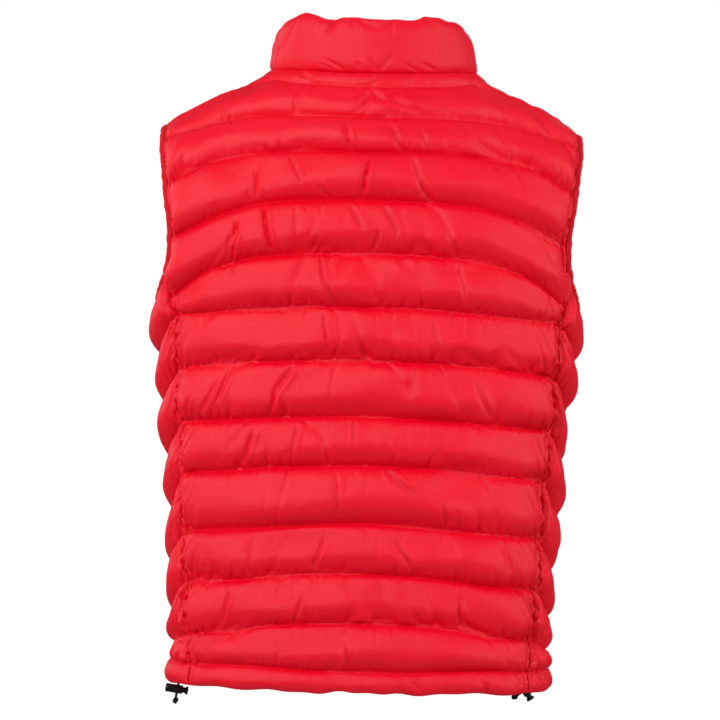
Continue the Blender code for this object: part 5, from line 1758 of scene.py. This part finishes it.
for side, route in (("left", CORD_LEFT), ("right", CORD_RIGHT)):
    path, long = smooth_route(route, CORD_POINTS)
    points, faces = tube(path, CORD_D / 2, CORD_SIDES)
    cord = made_mesh("drawcord_braid_" + side, points / MM, faces)
    dress(cord, braid, "cord", "vest", "drawcord_" + side)
    way = unit(path[-1] - path[-2])
    knot = stopper_knot("drawcord_stopper_" + side, path[-1], way)
    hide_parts("drawcord_knot_" + side)
    bpy.ops.object.select_all(action="DESELECT")
    bpy.ops.mesh.primitive_torus_add(major_radius=EYELET_RING, minor_radius=EYELET_WIRE, major_segments=36,
                                     minor_segments=12)
    eyelet = bpy.context.object
    bpy.ops.object.mode_set(mode="EDIT")
    bpy.ops.mesh.select_all(action="SELECT")
    bpy.ops.transform.resize(value=(1, 1, EYELET_FLAT))
    bpy.ops.object.mode_set(mode="OBJECT")
    through_hem = Matrix.Translation(EYELETS[side]) @ Matrix.Rotation(math.pi / 2, 4, "Y")
    fitted(eyelet, "hem_eyelet_" + side, through_hem, lacquer, "metal", "vest", 0)

# ---------------------------------------------------------------- floor and light
# A plain pale floor well below the hem, and soft studio lights on all sides: the key is high on
# the left behind the camera, and it makes each channel bright above and deep red below.

FLOOR_Z = -1.15
FLOOR_HALF = 5.0
ROOM, ROOM_MIRRORED = 0.56, 0.08        # how bright the room is, for matt and for glossy surfaces
BEAM = math.radians(70)         # the softboxes have grids, so that little light falls on the floor
AIM = Vector((0, 0, -0.38))
LIGHTS = (
    # name, place, across, watts
    ("key", (1.5, 2.6, 1.05), 0.9, 7.3),
    ("fill", (-2.5, 1.0, 0.3), 1.6, 5.5),
    ("left_fill", (2.5, 0.6, 0.1), 1.6, 2.5),
    ("top", (0.2, 0.3, 2.2), 1.2, 0.2),
    ("front_key", (-1.5, -2.6, 1.05), 0.9, 7.4),
    ("front_fill", (2.2, -1.6, 0.3), 1.6, 2.0),
)
GAMMA = 0.94

bpy.ops.mesh.primitive_plane_add(size=2 * FLOOR_HALF, location=(0, 0, FLOOR_Z))
floor = bpy.context.object
floor.name = "floor"
pale_floor = Finish("pale_floor", Base_Color=(0.8, 0.8, 0.8, 1.0), Roughness=0.8,
                    Emission_Color=(1.0, 1.0, 1.0, 1.0), Emission_Strength=0.6)
floor.data.materials.append(pale_floor.material)
floor.visible_glossy = floor.visible_diffuse = False

world = bpy.data.worlds.new("pale_room")
bpy.context.scene.world = world
world.use_nodes = True
sky = world.node_tree
room = sky.nodes["Background"]
room.inputs["Color"].default_value = (1.0, 1.0, 1.0, 1.0)
seen = sky.nodes.new("ShaderNodeBackground")
seen.inputs["Color"].default_value = (1.0, 1.0, 1.0, 1.0)
seen.inputs["Strength"].default_value = 1.0
ray = sky.nodes.new("ShaderNodeLightPath")
dimmed = sky.nodes.new("ShaderNodeMath")
dimmed.operation = "MULTIPLY_ADD"
dimmed.inputs[1].default_value = ROOM_MIRRORED - ROOM
dimmed.inputs[2].default_value = ROOM
sky.links.new(ray.outputs["Is Glossy Ray"], dimmed.inputs[0])
sky.links.new(dimmed.outputs[0], room.inputs["Strength"])
mix = sky.nodes.new("ShaderNodeMixShader")
sky.links.new(ray.outputs["Is Camera Ray"], mix.inputs[0])
sky.links.new(room.outputs[0], mix.inputs[1])
sky.links.new(seen.outputs[0], mix.inputs[2])
sky.links.new(mix.outputs[0], sky.nodes["World Output"].inputs["Surface"])

for name, place, across, watts in LIGHTS:
    data = bpy.data.lights.new(name, "AREA")
    data.energy, data.size, data.spread = watts, across, BEAM
    lamp = link(bpy.data.objects.new(name, data))
    lamp.visible_glossy = name != "front_key"
    lamp.location = place
    lamp.rotation_euler = (AIM - lamp.location).to_track_quat("-Z", "Y").to_euler()

bpy.context.scene.view_settings.view_transform = "Standard"
bpy.context.scene.view_settings.gamma = GAMMA
